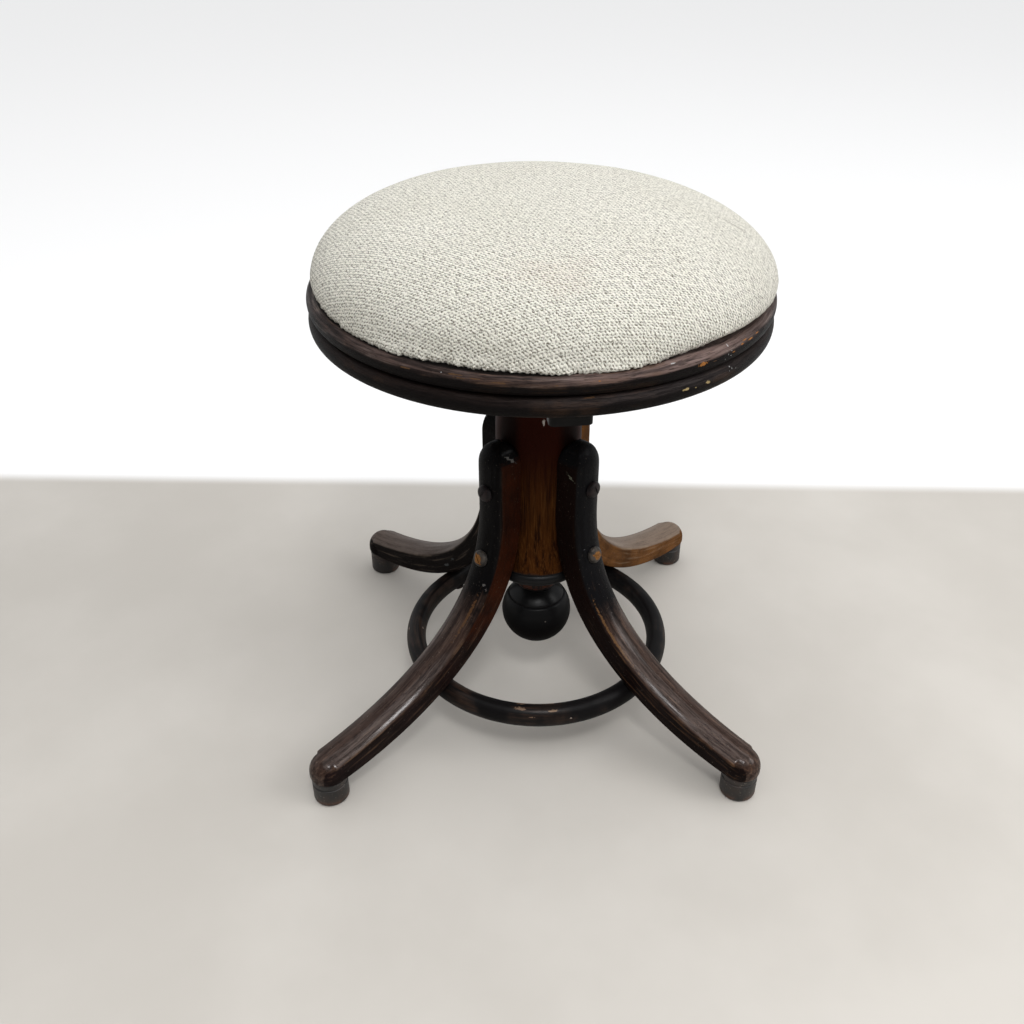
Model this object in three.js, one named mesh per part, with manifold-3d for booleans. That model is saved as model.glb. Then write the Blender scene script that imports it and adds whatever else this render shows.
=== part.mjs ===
// A revolving piano stool: a padded round seat on an iron screw spindle that winds up and down in
// a turned wooden column, which stands on four bent legs tied together by a bent hoop.
// Millimetres, +Z up. The origin is on the floor under the column's axis. The four legs stand near
// the axes: the front leg towards -Y, the right one towards +X.

import * as THREE from 'three';
import { mergeVertices } from 'three/addons/utils/BufferGeometryUtils.js';
import Module from 'manifold-3d';

const wasm = await Module();
wasm.setup();

// Gaps: touching pieces keep the seat gap, a screw or pin keeps the hole gap all round.
const seat_gap = 0.3;
const hole_gap = 0.3;
const cut_overrun = 5;

// Rim: two bent rings, one on the other, round the seat.
const rim_diameter = 360;
const ring_height = 15.6;
const ring_bulge = 5.5;
const upper_ring_wall = 22;
const lower_ring_wall = 30;
const ring_edge = 1.2;
const ring_face_shares = [-1, -0.6, -0.2, 0.2, 0.6, 1];
const rim_sides = 44;
const seat_turn_at_rest = 49.9;
const seat_lift_at_rest = 20.9;

// Seat board and cushion.
const board_thickness = 8;
const cushion_inset = 3.2;
const cushion_edge_inset = 9;
const cushion_swell_height = 8;
const cushion_crown = 52;
const cushion_round_share = 0.54;
const cushion_rise_share = 1.08;
const cushion_waist_share = 0.67;
const cushion_rings = 7;

// Battens under the rim.
const batten_inset = 15;
const batten_width = 30;
const batten_thickness = 11.5;
const batten_corner = 4;
const batten_corner_steps = 3;
const rim_screw_radius = 2.2;
const rim_screw_head = 4.6;
const rim_screw_length = 24;
const rim_screw_inset = 10;
const small_screw_sides = 8;

// Iron flange, its screws and its pin.
const flange_radius = 45;
const flange_thickness = 5;
const hub_radius = 17;
const hub_height = 18.5;
const hub_fillet = 3;
const flange_screw_circle = 34;
const flange_screw_radius = 2.1;
const flange_screw_head = 4.5;
const flange_screw_head_height = 2.8;
const flange_screw_length = 14.5;
const hub_pin_radius = 2.5;
const hub_pin_proud = 1.2;
const flange_sides = 24;

// Screw spindle.
const thread_radius = 11;
const thread_depth = 2.4;
const thread_pitch = 8;
const thread_crest = 2.5;
const thread_root = 2.7;
const thread_steps = 12;
const thread_clearance = 0.6;
const thread_side_clearance = 0.35;
const spindle_shank_radius = 8.4;
const spindle_length = 166;
const spindle_tip_chamfer = 2;

// Iron nut in the column's top, its screws, and the leather washer that lies on it.
const nut_radius = 18;
const nut_length = 40;
const nut_flange_radius = 29;
const nut_flange_thickness = 3.4;
const nut_screw_circle = 23.5;
const nut_screw_count = 3;
const nut_screw_radius = 1.8;
const nut_screw_head = 3.6;
const nut_screw_length = 18;
const washer_outer_radius = 24;
const washer_thickness = 3;
const washer_clearance = 1;
const nut_sides = 24;

// Column, turned in one piece: a body that flares down to a moulding, a collar, a neck and a ball.
const column_top = 312;
const drum_radius = 36;
const drum_height = 29;
const drum_edge = 2;
const body_radius = 36.6;
const body_step = 1.6;
const body_foot_radius = 43;
const body_foot = 146;
const flare_top = 197;
const flare_power = 1.8;
const flare_shares = [0.3, 0.6, 0.85];
const moulding_radius = 44;
const moulding_height = 13;
const moulding_shares = [[1, 0.75], [1, 0.4], [0.92, 0]];
const underside_shares = [[0.45, 0.3], [0.12, 0.7]];
const collar_radius = 22.5;
const collar_top = 125;
const collar_height = 10;
const collar_bead_shares = [[0.94, 1], [1, 0.7], [1, 0.3], [0.94, 0]];
const collar_fillet_radius = 20;
const collar_fillet_height = 4;
const neck_top_shares = [1.08, 0.55];
const neck_radius = 15;
const ball_radius = 32.4;
const ball_height = 77;
const ball_groove_radius = 26.3;
const ball_groove_depth = 1.2;
const ball_groove_width = 2;
const ball_steps = 6;
const spindle_bore_clearance = 1.8;
const spindle_bottom_room = 1;
const column_sides = 28;
const bore_sides = 16;

// Legs: straight down the column, then out in one long bend to a nose over a turned foot.
const leg_names = ['front', 'right', 'back', 'left'];
const leg_azimuths = [265.7, 1.7, 94, 178.6];
const leg_reaches = [240, 232, 238, 236];
const leg_width = 30;
const leg_thickness = 28;
const leg_nose_thickness = 23;
const leg_dome = 5.5;
const leg_edge = 1.6;
const leg_inner_face = 32.1;
const leg_top_drop = 36;
const leg_top_round = 22.5;
const leg_straight_length = 64.4;
const leg_drop_share = 0.748;
const leg_nose_share = 0.318;
const leg_thinning_power = 3;
const leg_nose_slope = 7.4;
const leg_nose_top = 46.8;
const leg_bend_steps = 16;
const leg_top_steps = 4;
const leg_dome_steps = 4;
const nose_radius = 16.3;
const nose_dome = 13;
const nose_dome_steps = 4;

// Turned feet, each with a spigot in its leg.
const foot_radius = 15.2;
const foot_height = 25.4;
const foot_edge = 2.6;
const foot_edge_share = 0.3;
const foot_bead = 0.9;
const foot_neck_height = 6;
const spigot_radius = 6;
const spigot_height = 9;
const foot_sides = 14;

// Round-headed screws that hold the legs to the column.
const leg_screw_drops = { upper: 42.5, lower: 111 };
const leg_screw_shifts = [-2, 2, 0, 0];
const leg_screw_radius = 3;
const leg_screw_head = 7.4;
const leg_screw_head_height = 5;
const leg_screw_tip_radius = 19;
const leg_screw_spot_depth = 0.6;
const leg_screw_sides = 8;
const screw_tip_share = 2;
const screw_dome_shares = [[0.86, 0.6], [0.5, 0.93]];

// Hoop that ties the legs together, and its screws.
const hoop_radius = 115.4;
const hoop_height = 49;
const hoop_width = 18;
const hoop_depth = 21;
const hoop_sides = 36;
const hoop_section_steps = 8;
const hoop_screw_radius = 2.1;
const hoop_screw_head = 4.4;
const hoop_screw_head_height = 2.2;
const hoop_screw_grip = 14;
const hoop_screw_spot_depth = 0.8;
const hoop_search_steps = 200;

// Levels and sizes that follow from the ones above.
const half = 0.5;
const halvings = 40;
const nut_flange_foot = column_top + seat_gap;
const nut_flange_top = nut_flange_foot + nut_flange_thickness;
const nut_foot = column_top - nut_length;
const washer_foot = nut_flange_top + seat_gap;
const washer_top = washer_foot + washer_thickness;
const hub_foot = washer_top + seat_lift_at_rest;
const flange_foot = hub_foot + hub_height;
const flange_top = flange_foot + flange_thickness;
const batten_foot = flange_top + seat_gap;
const batten_top = batten_foot + batten_thickness;
const rim_underside = batten_top + seat_gap;
const rim_radius = rim_diameter * half;
const batten_reach = rim_radius - batten_inset;
const cushion_radius = rim_radius - cushion_inset;
const cushion_edge_radius = rim_radius - cushion_edge_inset;
const lower_ring_top = rim_underside + ring_height;
const upper_ring_foot = lower_ring_top + seat_gap;
const upper_ring_top = upper_ring_foot + ring_height;
const upper_ring_bore = rim_radius - upper_ring_wall;
const lower_ring_bore = rim_radius - lower_ring_wall;
const board_foot = lower_ring_top + seat_gap;
const board_top = board_foot + board_thickness;
const thread_top = hub_foot - seat_gap;
const spindle_foot = thread_top - spindle_length;
const spindle_bore = thread_radius + spindle_bore_clearance;
const spindle_bore_floor = spindle_foot - seat_lift_at_rest - spindle_bottom_room;
const drum_underside = column_top - drum_height;
const leg_top = column_top - leg_top_drop;
const leg_straight_end = leg_top - leg_straight_length;
const leg_centre = leg_inner_face + leg_thickness * half;
const foot_seat = foot_height + seat_gap;
const nose_level = leg_nose_top - leg_nose_thickness * half;
const thread_flank = (thread_pitch - thread_crest - thread_root) * half;

// Finishes.
function finish(color, roughness, metalness = 0) {
  return new THREE.MeshStandardMaterial({ color, roughness, metalness });
}
const dark_bentwood = finish(0x2b1d18, 0.48);
const worn_bentwood = finish(0x4a3224, 0.55);
const pale_bentwood = finish(0x6b4c33, 0.58);
const turned_wood = finish(0x3a2417, 0.42);
const black_wood = finish(0x1d1614, 0.5);
const plywood = finish(0xa98658, 0.7);
const woven_cloth = finish(0xd3cfc2, 0.95);
const dark_iron = finish(0x35312e, 0.5, 0.8);
const rusty_iron = finish(0x5a4030, 0.65, 0.6);
const leather = finish(0x5c3d26, 0.75);

// A closed mesh: seams merged, needle faces dropped, faces turned outwards.
function closed(geometry) {
  const bare = geometry.clone();
  bare.deleteAttribute('normal');
  bare.deleteAttribute('uv');
  const merged = mergeVertices(bare);
  const index = [];
  for (let i = 0; i < merged.index.count; i += 3) {
    const [a, b, c] = [0, 1, 2].map((k) => merged.index.getX(i + k));
    if (a !== b && b !== c && c !== a) index.push(a, b, c);
  }
  merged.setIndex(volumeOf(merged, index) < 0 ? index.reverse() : index);
  return merged;
}

// Six times the signed volume inside a closed mesh.
function volumeOf(geometry, index) {
  const corner = [0, 1, 2].map(() => new THREE.Vector3());
  let volume = 0;
  for (let i = 0; i < index.length; i += 3) {
    corner.forEach((v, k) => v.fromBufferAttribute(geometry.attributes.position, index[i + k]));
    volume += corner[0].dot(corner[1].cross(corner[2]));
  }
  return volume;
}

function solid(geometry) {
  const mesh = closed(geometry);
  return new wasm.Manifold(new wasm.Mesh({
    numProp: 3,
    vertProperties: new Float32Array(mesh.attributes.position.array),
    triVerts: new Uint32Array(mesh.index.array),
  }));
}

function shapeOf(manifold) {
  const mesh = manifold.getMesh();
  const geometry = new THREE.BufferGeometry();
  geometry.setAttribute('position', new THREE.BufferAttribute(mesh.vertProperties, 3));
  geometry.setIndex(new THREE.BufferAttribute(mesh.triVerts, 1));
  return geometry;
}

function cutBy(geometry, cutters) {
  const body = cutters.reduce((left, cutter) => left.subtract(solid(cutter)), solid(geometry));
  return shapeOf(body);
}

// A turned shape about Z from a profile of [radius, height] points.
function turned(profile, sides) {
  const points = profile.map(([radius, height]) => new THREE.Vector2(radius, height));
  return new THREE.LatheGeometry(points, sides).rotateX(Math.PI / 2);
}

// A turned ring: the profile closes on itself.
function turnedRing(profile, sides) {
  return turned([...profile, profile[0]], sides);
}

function rod(radius, low, high, sides) {
  return turned([[0, low], [radius, low], [radius, high], [0, high]], sides);
}

// A skin stretched over equal sections, closed by a fan at each end.
function loft(sections) {
  const count = sections[0].length;
  const positions = sections.flat().flatMap((point) => point.toArray());
  const index = [];
  for (let s = 0; s + 1 < sections.length; s += 1) {
    for (let k = 0; k < count; k += 1) {
      const next = (k + 1) % count;
      const [a, b] = [s * count + k, s * count + next];
      index.push(a, b, b + count, a, b + count, a + count);
    }
  }
  [sections[0], sections.at(-1)].forEach((section, end) => {
    const centre = section.reduce((sum, p) => sum.add(p), new THREE.Vector3());
    positions.push(...centre.divideScalar(count).toArray());
    const hub = positions.length / 3 - 1;
    const start = end * (sections.length - 1) * count;
    for (let k = 0; k < count; k += 1) {
      const pair = [start + k, start + ((k + 1) % count)];
      index.push(hub, ...(end ? pair : pair.reverse()));
    }
  });
  const geometry = new THREE.BufferGeometry();
  geometry.setAttribute('position', new THREE.Float32BufferAttribute(positions, 3));
  geometry.setIndex(index);
  return geometry;
}

// A direction in the upright plane through the column's axis.
function inPlane(radial, up) {
  return new THREE.Vector3(radial, 0, up).normalize();
}

function turnTo(direction) {
  return new THREE.Quaternion().setFromUnitVectors(new THREE.Vector3(0, 0, 1), direction);
}

// A shape moved so that its own +Z lies along a direction, with its origin at a point.
function aimed(geometry, point, direction) {
  const matrix = new THREE.Matrix4().compose(point, turnTo(direction), new THREE.Vector3(1, 1, 1));
  return geometry.applyMatrix4(matrix);
}

function piece(group, name, geometry, material) {
  const mesh = new THREE.Mesh(geometry, material);
  mesh.name = name;
  group.add(mesh);
  return mesh;
}

// A wood screw: +Z leaves the wood. The head is a dome above zero, or sunk below it.
function domedScrew(radius, head, head_height, length, sides) {
  const tip = radius * screw_tip_share;
  const dome = screw_dome_shares.map(([out, rise]) => [head * out, head_height * rise]);
  return turned([
    [0, -length], [radius, tip - length], [radius, 0], [head, 0], ...dome, [0, head_height],
  ], sides);
}

function sunkScrew(radius, head, length, sides) {
  const tip = radius * screw_tip_share;
  return turned([
    [0, -length], [radius, tip - length], [radius, radius - head], [head, 0], [0, 0],
  ], sides);
}

// The room that a screw needs, with the hole gap all round. Its mouth is plain under a head on a
// flat face, a cone for a sunk head, or a flat spot for a head on a rounded face.
function screwHole(radius, head, length, sides, mouth) {
  const wide = radius + hole_gap;
  const brim = head + hole_gap;
  const mouths = {
    plain: [[wide, cut_overrun]],
    cone: [[wide, wide - brim], [brim, 0], [brim, cut_overrun]],
    spot: [[wide, -seat_gap], [brim, -seat_gap], [brim, cut_overrun]],
  };
  return turned([
    [0, -length - hole_gap], [wide, -length - hole_gap], ...mouths[mouth], [0, cut_overrun],
  ], sides);
}

// The bent rings: a rounded outer face, eased edges, a plain bore.
function ringProfile(foot, wall) {
  const middle = foot + ring_height * half;
  const crown = ring_height * half - ring_edge * half;
  const face = ring_face_shares.map((share) => {
    const angle = share * Math.PI * half;
    const radius = rim_radius - ring_bulge * (1 - Math.cos(angle));
    return [radius, middle + crown * Math.sin(angle)];
  });
  const bore = rim_radius - wall;
  const top = foot + ring_height;
  const shoulder = rim_radius - ring_bulge - ring_edge;
  return [[bore, foot], [shoulder, foot], ...face, [shoulder, top], [bore, top]];
}

function upperRing() {
  return closed(turnedRing(ringProfile(upper_ring_foot, upper_ring_wall), rim_sides));
}

function rimScrewPlaces() {
  const radius = batten_reach - rim_screw_inset;
  return [0, 1, 2, 3].map((quarter) => {
    const angle = quarter * Math.PI * half;
    return new THREE.Vector3(radius * Math.cos(angle), radius * Math.sin(angle), batten_foot);
  });
}

const up = new THREE.Vector3(0, 0, 1);
const down = new THREE.Vector3(0, 0, -1);

function rimScrewHoles() {
  return rimScrewPlaces().map((place) => aimed(
    screwHole(rim_screw_radius, rim_screw_head, rim_screw_length, small_screw_sides, 'cone'),
    place,
    down,
  ));
}

function lowerRing() {
  return cutBy(turnedRing(ringProfile(rim_underside, lower_ring_wall), rim_sides), rimScrewHoles());
}

function seatBoard() {
  return closed(rod(upper_ring_bore - seat_gap, board_foot, board_top, rim_sides));
}

// The cushion: a plug inside the rim, sides that draw in to the rim and a crowned top.
function cushion() {
  const plug = upper_ring_bore - seat_gap;
  const foot = board_top + seat_gap;
  const skirt = upper_ring_top + seat_gap;
  const swell = skirt + cushion_swell_height;
  const crown = Array.from({ length: cushion_rings }, (_, k) => {
    const angle = (k / cushion_rings) * Math.PI * half;
    return [
      cushion_radius * Math.cos(angle) ** cushion_round_share,
      swell + cushion_crown * Math.sin(angle) ** cushion_rise_share,
    ];
  });
  const waist = cushion_edge_radius + (cushion_radius - cushion_edge_radius) * cushion_waist_share;
  return closed(turned([
    [0, foot], [plug, foot], [plug, skirt], [cushion_edge_radius, skirt],
    [waist, swell - cushion_swell_height * cushion_waist_share], ...crown,
    [0, swell + cushion_crown],
  ], rim_sides));
}

// A batten with rounded corners, along X, with a halved notch at its middle.
function batten(notch_from_above) {
  const side = batten_width * half;
  const end = batten_reach;
  const shape = new THREE.Shape();
  shape.moveTo(-end + batten_corner, -side);
  shape.lineTo(end - batten_corner, -side);
  shape.absarc(end - batten_corner, -side + batten_corner, batten_corner, -Math.PI / 2, 0);
  shape.absarc(end - batten_corner, side - batten_corner, batten_corner, 0, Math.PI / 2);
  shape.absarc(-end + batten_corner, side - batten_corner, batten_corner, Math.PI / 2, Math.PI);
  shape.absarc(-end + batten_corner, -side + batten_corner, batten_corner, Math.PI, 1.5 * Math.PI);
  const bar = new THREE.ExtrudeGeometry(shape, {
    depth: batten_thickness, bevelEnabled: false, curveSegments: batten_corner_steps,
  }).translate(0, 0, batten_foot);
  const middle = (batten_foot + batten_top) * half;
  const low = notch_from_above ? middle - seat_gap * half : batten_foot - cut_overrun;
  const high = notch_from_above ? batten_top + cut_overrun : middle + seat_gap * half;
  const wide = batten_width + 2 * seat_gap;
  const notch = new THREE.BoxGeometry(wide, batten_width + cut_overrun, high - low);
  return [bar, notch.translate(0, 0, (low + high) * half)];
}

function flangeScrewPlaces() {
  return [0, 1, 2, 3].map((quarter) => {
    const angle = quarter * Math.PI * half;
    return new THREE.Vector3(
      flange_screw_circle * Math.cos(angle),
      flange_screw_circle * Math.sin(angle),
      flange_foot - seat_gap,
    );
  });
}

function flangeScrewHoles() {
  return flangeScrewPlaces().map((place) => aimed(
    screwHole(flange_screw_radius, flange_screw_head, flange_screw_length, small_screw_sides, 'plain'),
    place,
    down,
  ));
}

function finishedBatten(notch_from_above, turn) {
  const [bar, notch] = batten(notch_from_above);
  bar.rotateZ(turn);
  notch.rotateZ(turn);
  return cutBy(bar, [notch, ...rimScrewHoles(), ...flangeScrewHoles()]);
}

const pin_level = (flange_foot + hub_foot) * half;
const across = new THREE.Vector3(1, 0, 0);

function hubPin(radius, reach) {
  return aimed(rod(radius, -reach, reach, small_screw_sides), new THREE.Vector3(0, 0, pin_level), across);
}

function hubPinHole() {
  return hubPin(hub_pin_radius + hole_gap, hub_radius + cut_overrun);
}

// The flange: a round plate with a pinned hub under it.
function flange() {
  const bore = spindle_shank_radius + hole_gap;
  const body = turnedRing([
    [bore, hub_foot], [hub_radius, hub_foot], [hub_radius, flange_foot - hub_fillet],
    [hub_radius + hub_fillet, flange_foot], [flange_radius, flange_foot],
    [flange_radius, flange_top], [bore, flange_top],
  ], flange_sides);
  return cutBy(body, [hubPinHole(), ...flangeScrewHoles()]);
}

// A helical screw surface on one helix through angle zero at level zero: the profile climbs one
// pitch in each turn of equal steps.
function threadBlank(radius, crest, low, high) {
  const root = radius - thread_depth;
  const middle = thread_pitch * half;
  const edge = crest * half;
  const profile = [
    [root, middle - edge - thread_flank], [radius, middle - edge],
    [radius, middle + edge], [root, middle + edge + thread_flank],
  ];
  const first = Math.floor(low / thread_pitch) - 1;
  const turns = Math.ceil(high / thread_pitch) + 1 - first;
  const count = turns * thread_steps;
  const positions = [];
  for (let i = 0; i <= count; i += 1) {
    const angle = (i / thread_steps) * 2 * Math.PI;
    const rise = (first + i / thread_steps) * thread_pitch;
    profile.forEach(([r, z]) => {
      positions.push(r * Math.cos(angle), r * Math.sin(angle), rise + z);
    });
  }
  const at = (i, k) => i * profile.length + k;
  const index = [];
  for (let i = 0; i < count; i += 1) {
    for (let k = 0; k + 1 < profile.length; k += 1) {
      index.push(at(i, k), at(i + 1, k), at(i + 1, k + 1), at(i, k), at(i + 1, k + 1), at(i, k + 1));
    }
    if (i + thread_steps < count) {
      const last = profile.length - 1;
      const above = i + thread_steps;
      index.push(at(i, last), at(i + 1, last), at(above + 1, 0));
      index.push(at(i, last), at(above + 1, 0), at(above, 0));
    }
  }
  closeThreadEnds(positions, index, at, count, profile.length);
  const geometry = new THREE.BufferGeometry();
  geometry.setAttribute('position', new THREE.Float32BufferAttribute(positions, 3));
  geometry.setIndex(index);
  return geometry;
}

// Fans close both ends of the screw surface about its axis.
function closeThreadEnds(positions, index, at, count, width) {
  const last = width - 1;
  const bottom = positions.length / 3;
  positions.push(0, 0, positions[2]);
  const top = bottom + 1;
  positions.push(0, 0, positions[at(count, last) * 3 + 2]);
  for (let i = 0; i < thread_steps; i += 1) index.push(bottom, at(i + 1, 0), at(i, 0));
  index.push(bottom, at(0, last), at(thread_steps, 0));
  for (let k = 0; k < last; k += 1) index.push(bottom, at(0, k), at(0, k + 1));
  const from = count - thread_steps;
  for (let i = from; i < count; i += 1) index.push(top, at(i, last), at(i + 1, last));
  index.push(top, at(count, 0), at(from, last));
  for (let k = 0; k < last; k += 1) index.push(top, at(count, k + 1), at(count, k));
}

function spindle() {
  const blank = solid(threadBlank(thread_radius, thread_crest, spindle_foot, thread_top));
  const beyond = thread_radius + cut_overrun;
  const trim = turned([
    [0, spindle_foot], [thread_radius - spindle_tip_chamfer, spindle_foot],
    [beyond, spindle_foot + spindle_tip_chamfer + cut_overrun], [beyond, thread_top], [0, thread_top],
  ], thread_steps * 2);
  const shank = rod(spindle_shank_radius, thread_top - cut_overrun, flange_top, thread_steps * 2);
  const body = blank.intersect(solid(trim)).add(solid(shank)).subtract(solid(hubPinHole()));
  return shapeOf(body);
}

// The nut: a long bush with a flange, threaded to match the spindle with running clearance.
function spindleNut(turn) {
  const grown_crest = thread_crest + 2 * thread_side_clearance;
  const tap = threadBlank(
    thread_radius + thread_clearance, grown_crest, nut_foot - cut_overrun, nut_flange_top + cut_overrun,
  );
  tap.rotateZ(turn);
  const body = turned([
    [0, nut_foot], [nut_radius, nut_foot], [nut_radius, nut_flange_foot],
    [nut_flange_radius, nut_flange_foot], [nut_flange_radius, nut_flange_top], [0, nut_flange_top],
  ], nut_sides);
  return cutBy(body, [tap, ...nutScrewHoles()]);
}

function nutScrewPlaces() {
  return Array.from({ length: nut_screw_count }, (_, k) => {
    const angle = ((k + half) / nut_screw_count) * 2 * Math.PI;
    return new THREE.Vector3(
      nut_screw_circle * Math.cos(angle),
      nut_screw_circle * Math.sin(angle),
      nut_flange_top,
    );
  });
}

function nutScrewHoles() {
  return nutScrewPlaces().map((place) => aimed(
    screwHole(nut_screw_radius, nut_screw_head, nut_screw_length, small_screw_sides, 'cone'),
    place,
    up,
  ));
}

function stopWasher() {
  const bore = thread_radius + washer_clearance;
  return closed(turnedRing([
    [bore, washer_foot], [washer_outer_radius, washer_foot], [washer_outer_radius, washer_top],
    [bore, washer_top],
  ], nut_sides));
}

// The leg's middle line in its upright plane, from the top of the bend to the nose.
function legBend(reach) {
  const slope = THREE.MathUtils.degToRad(leg_nose_slope);
  const drop = (leg_straight_end - nose_level) * leg_drop_share;
  const run = (reach - leg_centre) * leg_nose_share;
  return new THREE.CubicBezierCurve3(
    new THREE.Vector3(leg_centre, 0, leg_straight_end),
    new THREE.Vector3(leg_centre, 0, leg_straight_end - drop),
    new THREE.Vector3(reach - run * Math.cos(slope), 0, nose_level + run * Math.sin(slope)),
    new THREE.Vector3(reach, 0, nose_level),
  );
}

// The leg thins along its bend, towards the nose.
function legThickness(along) {
  return leg_thickness + (leg_nose_thickness - leg_thickness) * along ** leg_thinning_power;
}

function legNormal(bend, along) {
  const tangent = bend.getTangent(along);
  return inPlane(-tangent.z, tangent.x);
}

// The leg's section: flat inside, flat sides with eased edges, a domed outer face.
function legSection(thickness, grow) {
  const side = leg_width * half + grow;
  const inner = -thickness * half - grow;
  const outer = thickness * half + grow;
  const shoulder = outer - leg_dome;
  const bow = (side * side + leg_dome * leg_dome) / (2 * leg_dome);
  const span = Math.asin(side / bow);
  const dome = Array.from({ length: leg_dome_steps + 1 }, (_, k) => {
    const angle = span - (2 * span * k) / leg_dome_steps;
    return [bow * Math.sin(angle), outer - bow + bow * Math.cos(angle)];
  });
  return [
    [-side, inner + leg_edge], [leg_edge - side, inner], [side - leg_edge, inner],
    [side, inner + leg_edge], [side, shoulder], ...dome.slice(1, -1), [-side, shoulder],
  ];
}

function placedSection(outline, centre, normal, scale) {
  return outline.map(([a, b]) => new THREE.Vector3(
    centre.x + normal.x * b * scale, a * scale, centre.z + normal.z * b * scale,
  ));
}

function legBar(reach, grow) {
  const bend = legBend(reach);
  const outline = legSection(leg_thickness, grow);
  const out = new THREE.Vector3(1, 0, 0);
  const sections = [];
  const shoulder = leg_top - leg_top_round;
  for (let k = leg_top_steps; k >= 0; k -= 1) {
    const angle = (k / (leg_top_steps + half)) * Math.PI * half;
    const centre = new THREE.Vector3(leg_centre, 0, shoulder + (leg_top_round + grow) * Math.sin(angle));
    sections.push(placedSection(outline, centre, out, Math.cos(angle)));
  }
  for (let k = 0; k <= leg_bend_steps; k += 1) {
    const along = k / leg_bend_steps;
    const normal = legNormal(bend, along);
    sections.push(placedSection(legSection(legThickness(along), grow), bend.getPoint(along), normal, 1));
  }
  return loft(sections);
}

// The nose: an upright round boss at the leg's end with a domed top.
function legNose(reach) {
  const shoulder = leg_nose_top - nose_dome;
  const dome = Array.from({ length: nose_dome_steps }, (_, k) => {
    const angle = ((k + 1) / (nose_dome_steps + 1)) * Math.PI * half;
    return [nose_radius * Math.cos(angle), shoulder + nose_dome * Math.sin(angle)];
  });
  return turned([
    [0, foot_seat], [nose_radius, foot_seat], [nose_radius, shoulder], ...dome, [0, leg_nose_top],
  ], foot_sides).translate(reach, 0, 0);
}

// How far along the bend the middle line passes a level.
function alongAt(bend, height) {
  let [low, high] = [0, 1];
  for (let k = 0; k < halvings; k += 1) {
    const middle = (low + high) * half;
    if (bend.getPoint(middle).z > height) low = middle;
    else high = middle;
  }
  return low;
}

// Each leg's screws stand a little higher or lower than the next one's.
function legScrewHeights(k) {
  return Object.entries(leg_screw_drops).map(([level, drop]) => (
    { level, height: leg_top - drop + leg_screw_shifts[k] }
  ));
}

// A leg screw stands square to the leg's outer face and stops short of the column's bore.
function legScrewPlace(reach, height) {
  const bend = legBend(reach);
  const along = alongAt(bend, height);
  const centre = bend.getPoint(along).setZ(height);
  const normal = legNormal(bend, along);
  const spot = legThickness(along) * half - leg_screw_spot_depth;
  const seat = centre.addScaledVector(normal, spot + seat_gap);
  const length = (seat.x - leg_screw_tip_radius) / normal.x;
  return { seat, normal, length };
}

function legScrewHole(reach, height) {
  const { seat, normal, length } = legScrewPlace(reach, height);
  const hole = screwHole(leg_screw_radius, leg_screw_head, length, leg_screw_sides, 'spot');
  return aimed(hole, seat, normal);
}

// The hoop's section is a tall oval; the grown one cuts its seats in the legs.
function hoopRing(grow) {
  const oval = Array.from({ length: hoop_section_steps }, (_, k) => {
    const angle = (k / hoop_section_steps) * 2 * Math.PI;
    return [
      hoop_radius + (hoop_width * half + grow) * Math.cos(angle),
      hoop_height + (hoop_depth * half + grow) * Math.sin(angle),
    ];
  });
  return turnedRing(oval, hoop_sides);
}

// The hoop's screw runs square to the leg, through the hoop's middle, from the inside.
function hoopScrewPlace(reach) {
  const bend = legBend(reach);
  const middle = new THREE.Vector3(hoop_radius, 0, hoop_height);
  const distance = (along) => bend.getPoint(along).distanceTo(middle);
  const steps = Array.from({ length: hoop_search_steps + 1 }, (_, k) => k / hoop_search_steps);
  const along = steps.reduce((best, step) => (distance(step) < distance(best) ? step : best));
  const nearest = bend.getPoint(along);
  const inward = middle.clone().sub(nearest).normalize();
  const oval = Math.hypot(inward.x / (hoop_width * half), inward.z / (hoop_depth * half));
  const spot = 1 / oval - hoop_screw_spot_depth;
  const seat = middle.clone().addScaledVector(inward, spot + seat_gap);
  const length = seat.distanceTo(nearest) - legThickness(along) * half + hoop_screw_grip;
  return { seat, inward, length };
}

function hoopScrewHole(reach) {
  const { seat, inward, length } = hoopScrewPlace(reach);
  const hole = screwHole(hoop_screw_radius, hoop_screw_head, length, small_screw_sides, 'spot');
  return aimed(hole, seat, inward);
}

function spigotHole(reach) {
  const top = foot_height + spigot_height + seat_gap;
  return rod(spigot_radius + hole_gap, foot_height - cut_overrun, top, foot_sides)
    .translate(reach, 0, 0);
}

function footRoom(reach) {
  const radius = nose_radius + cut_overrun;
  return rod(radius, -cut_overrun, foot_seat, foot_sides).translate(reach, 0, 0);
}

function leg(k) {
  const reach = leg_reaches[k];
  const whole = solid(legBar(reach, 0)).add(solid(legNose(reach)));
  const cutters = [
    footRoom(reach), spigotHole(reach), hoopRing(seat_gap), hoopScrewHole(reach),
    ...legScrewHeights(k).map(({ height }) => legScrewHole(reach, height)),
  ];
  return shapeOf(cutters.reduce((left, cutter) => left.subtract(solid(cutter)), whole));
}

function foot() {
  const collar_foot = foot_height - foot_neck_height;
  const waist = foot_radius - foot_bead;
  const ease = foot_edge * foot_edge_share;
  return closed(turned([
    [0, 0], [foot_radius - foot_edge, 0], [foot_radius - ease, ease],
    [foot_radius, foot_edge], [foot_radius, collar_foot - foot_bead], [waist, collar_foot],
    [foot_radius, collar_foot + foot_bead], [foot_radius, foot_height], [spigot_radius, foot_height],
    [spigot_radius, foot_height + spigot_height], [0, foot_height + spigot_height],
  ], foot_sides));
}

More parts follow.
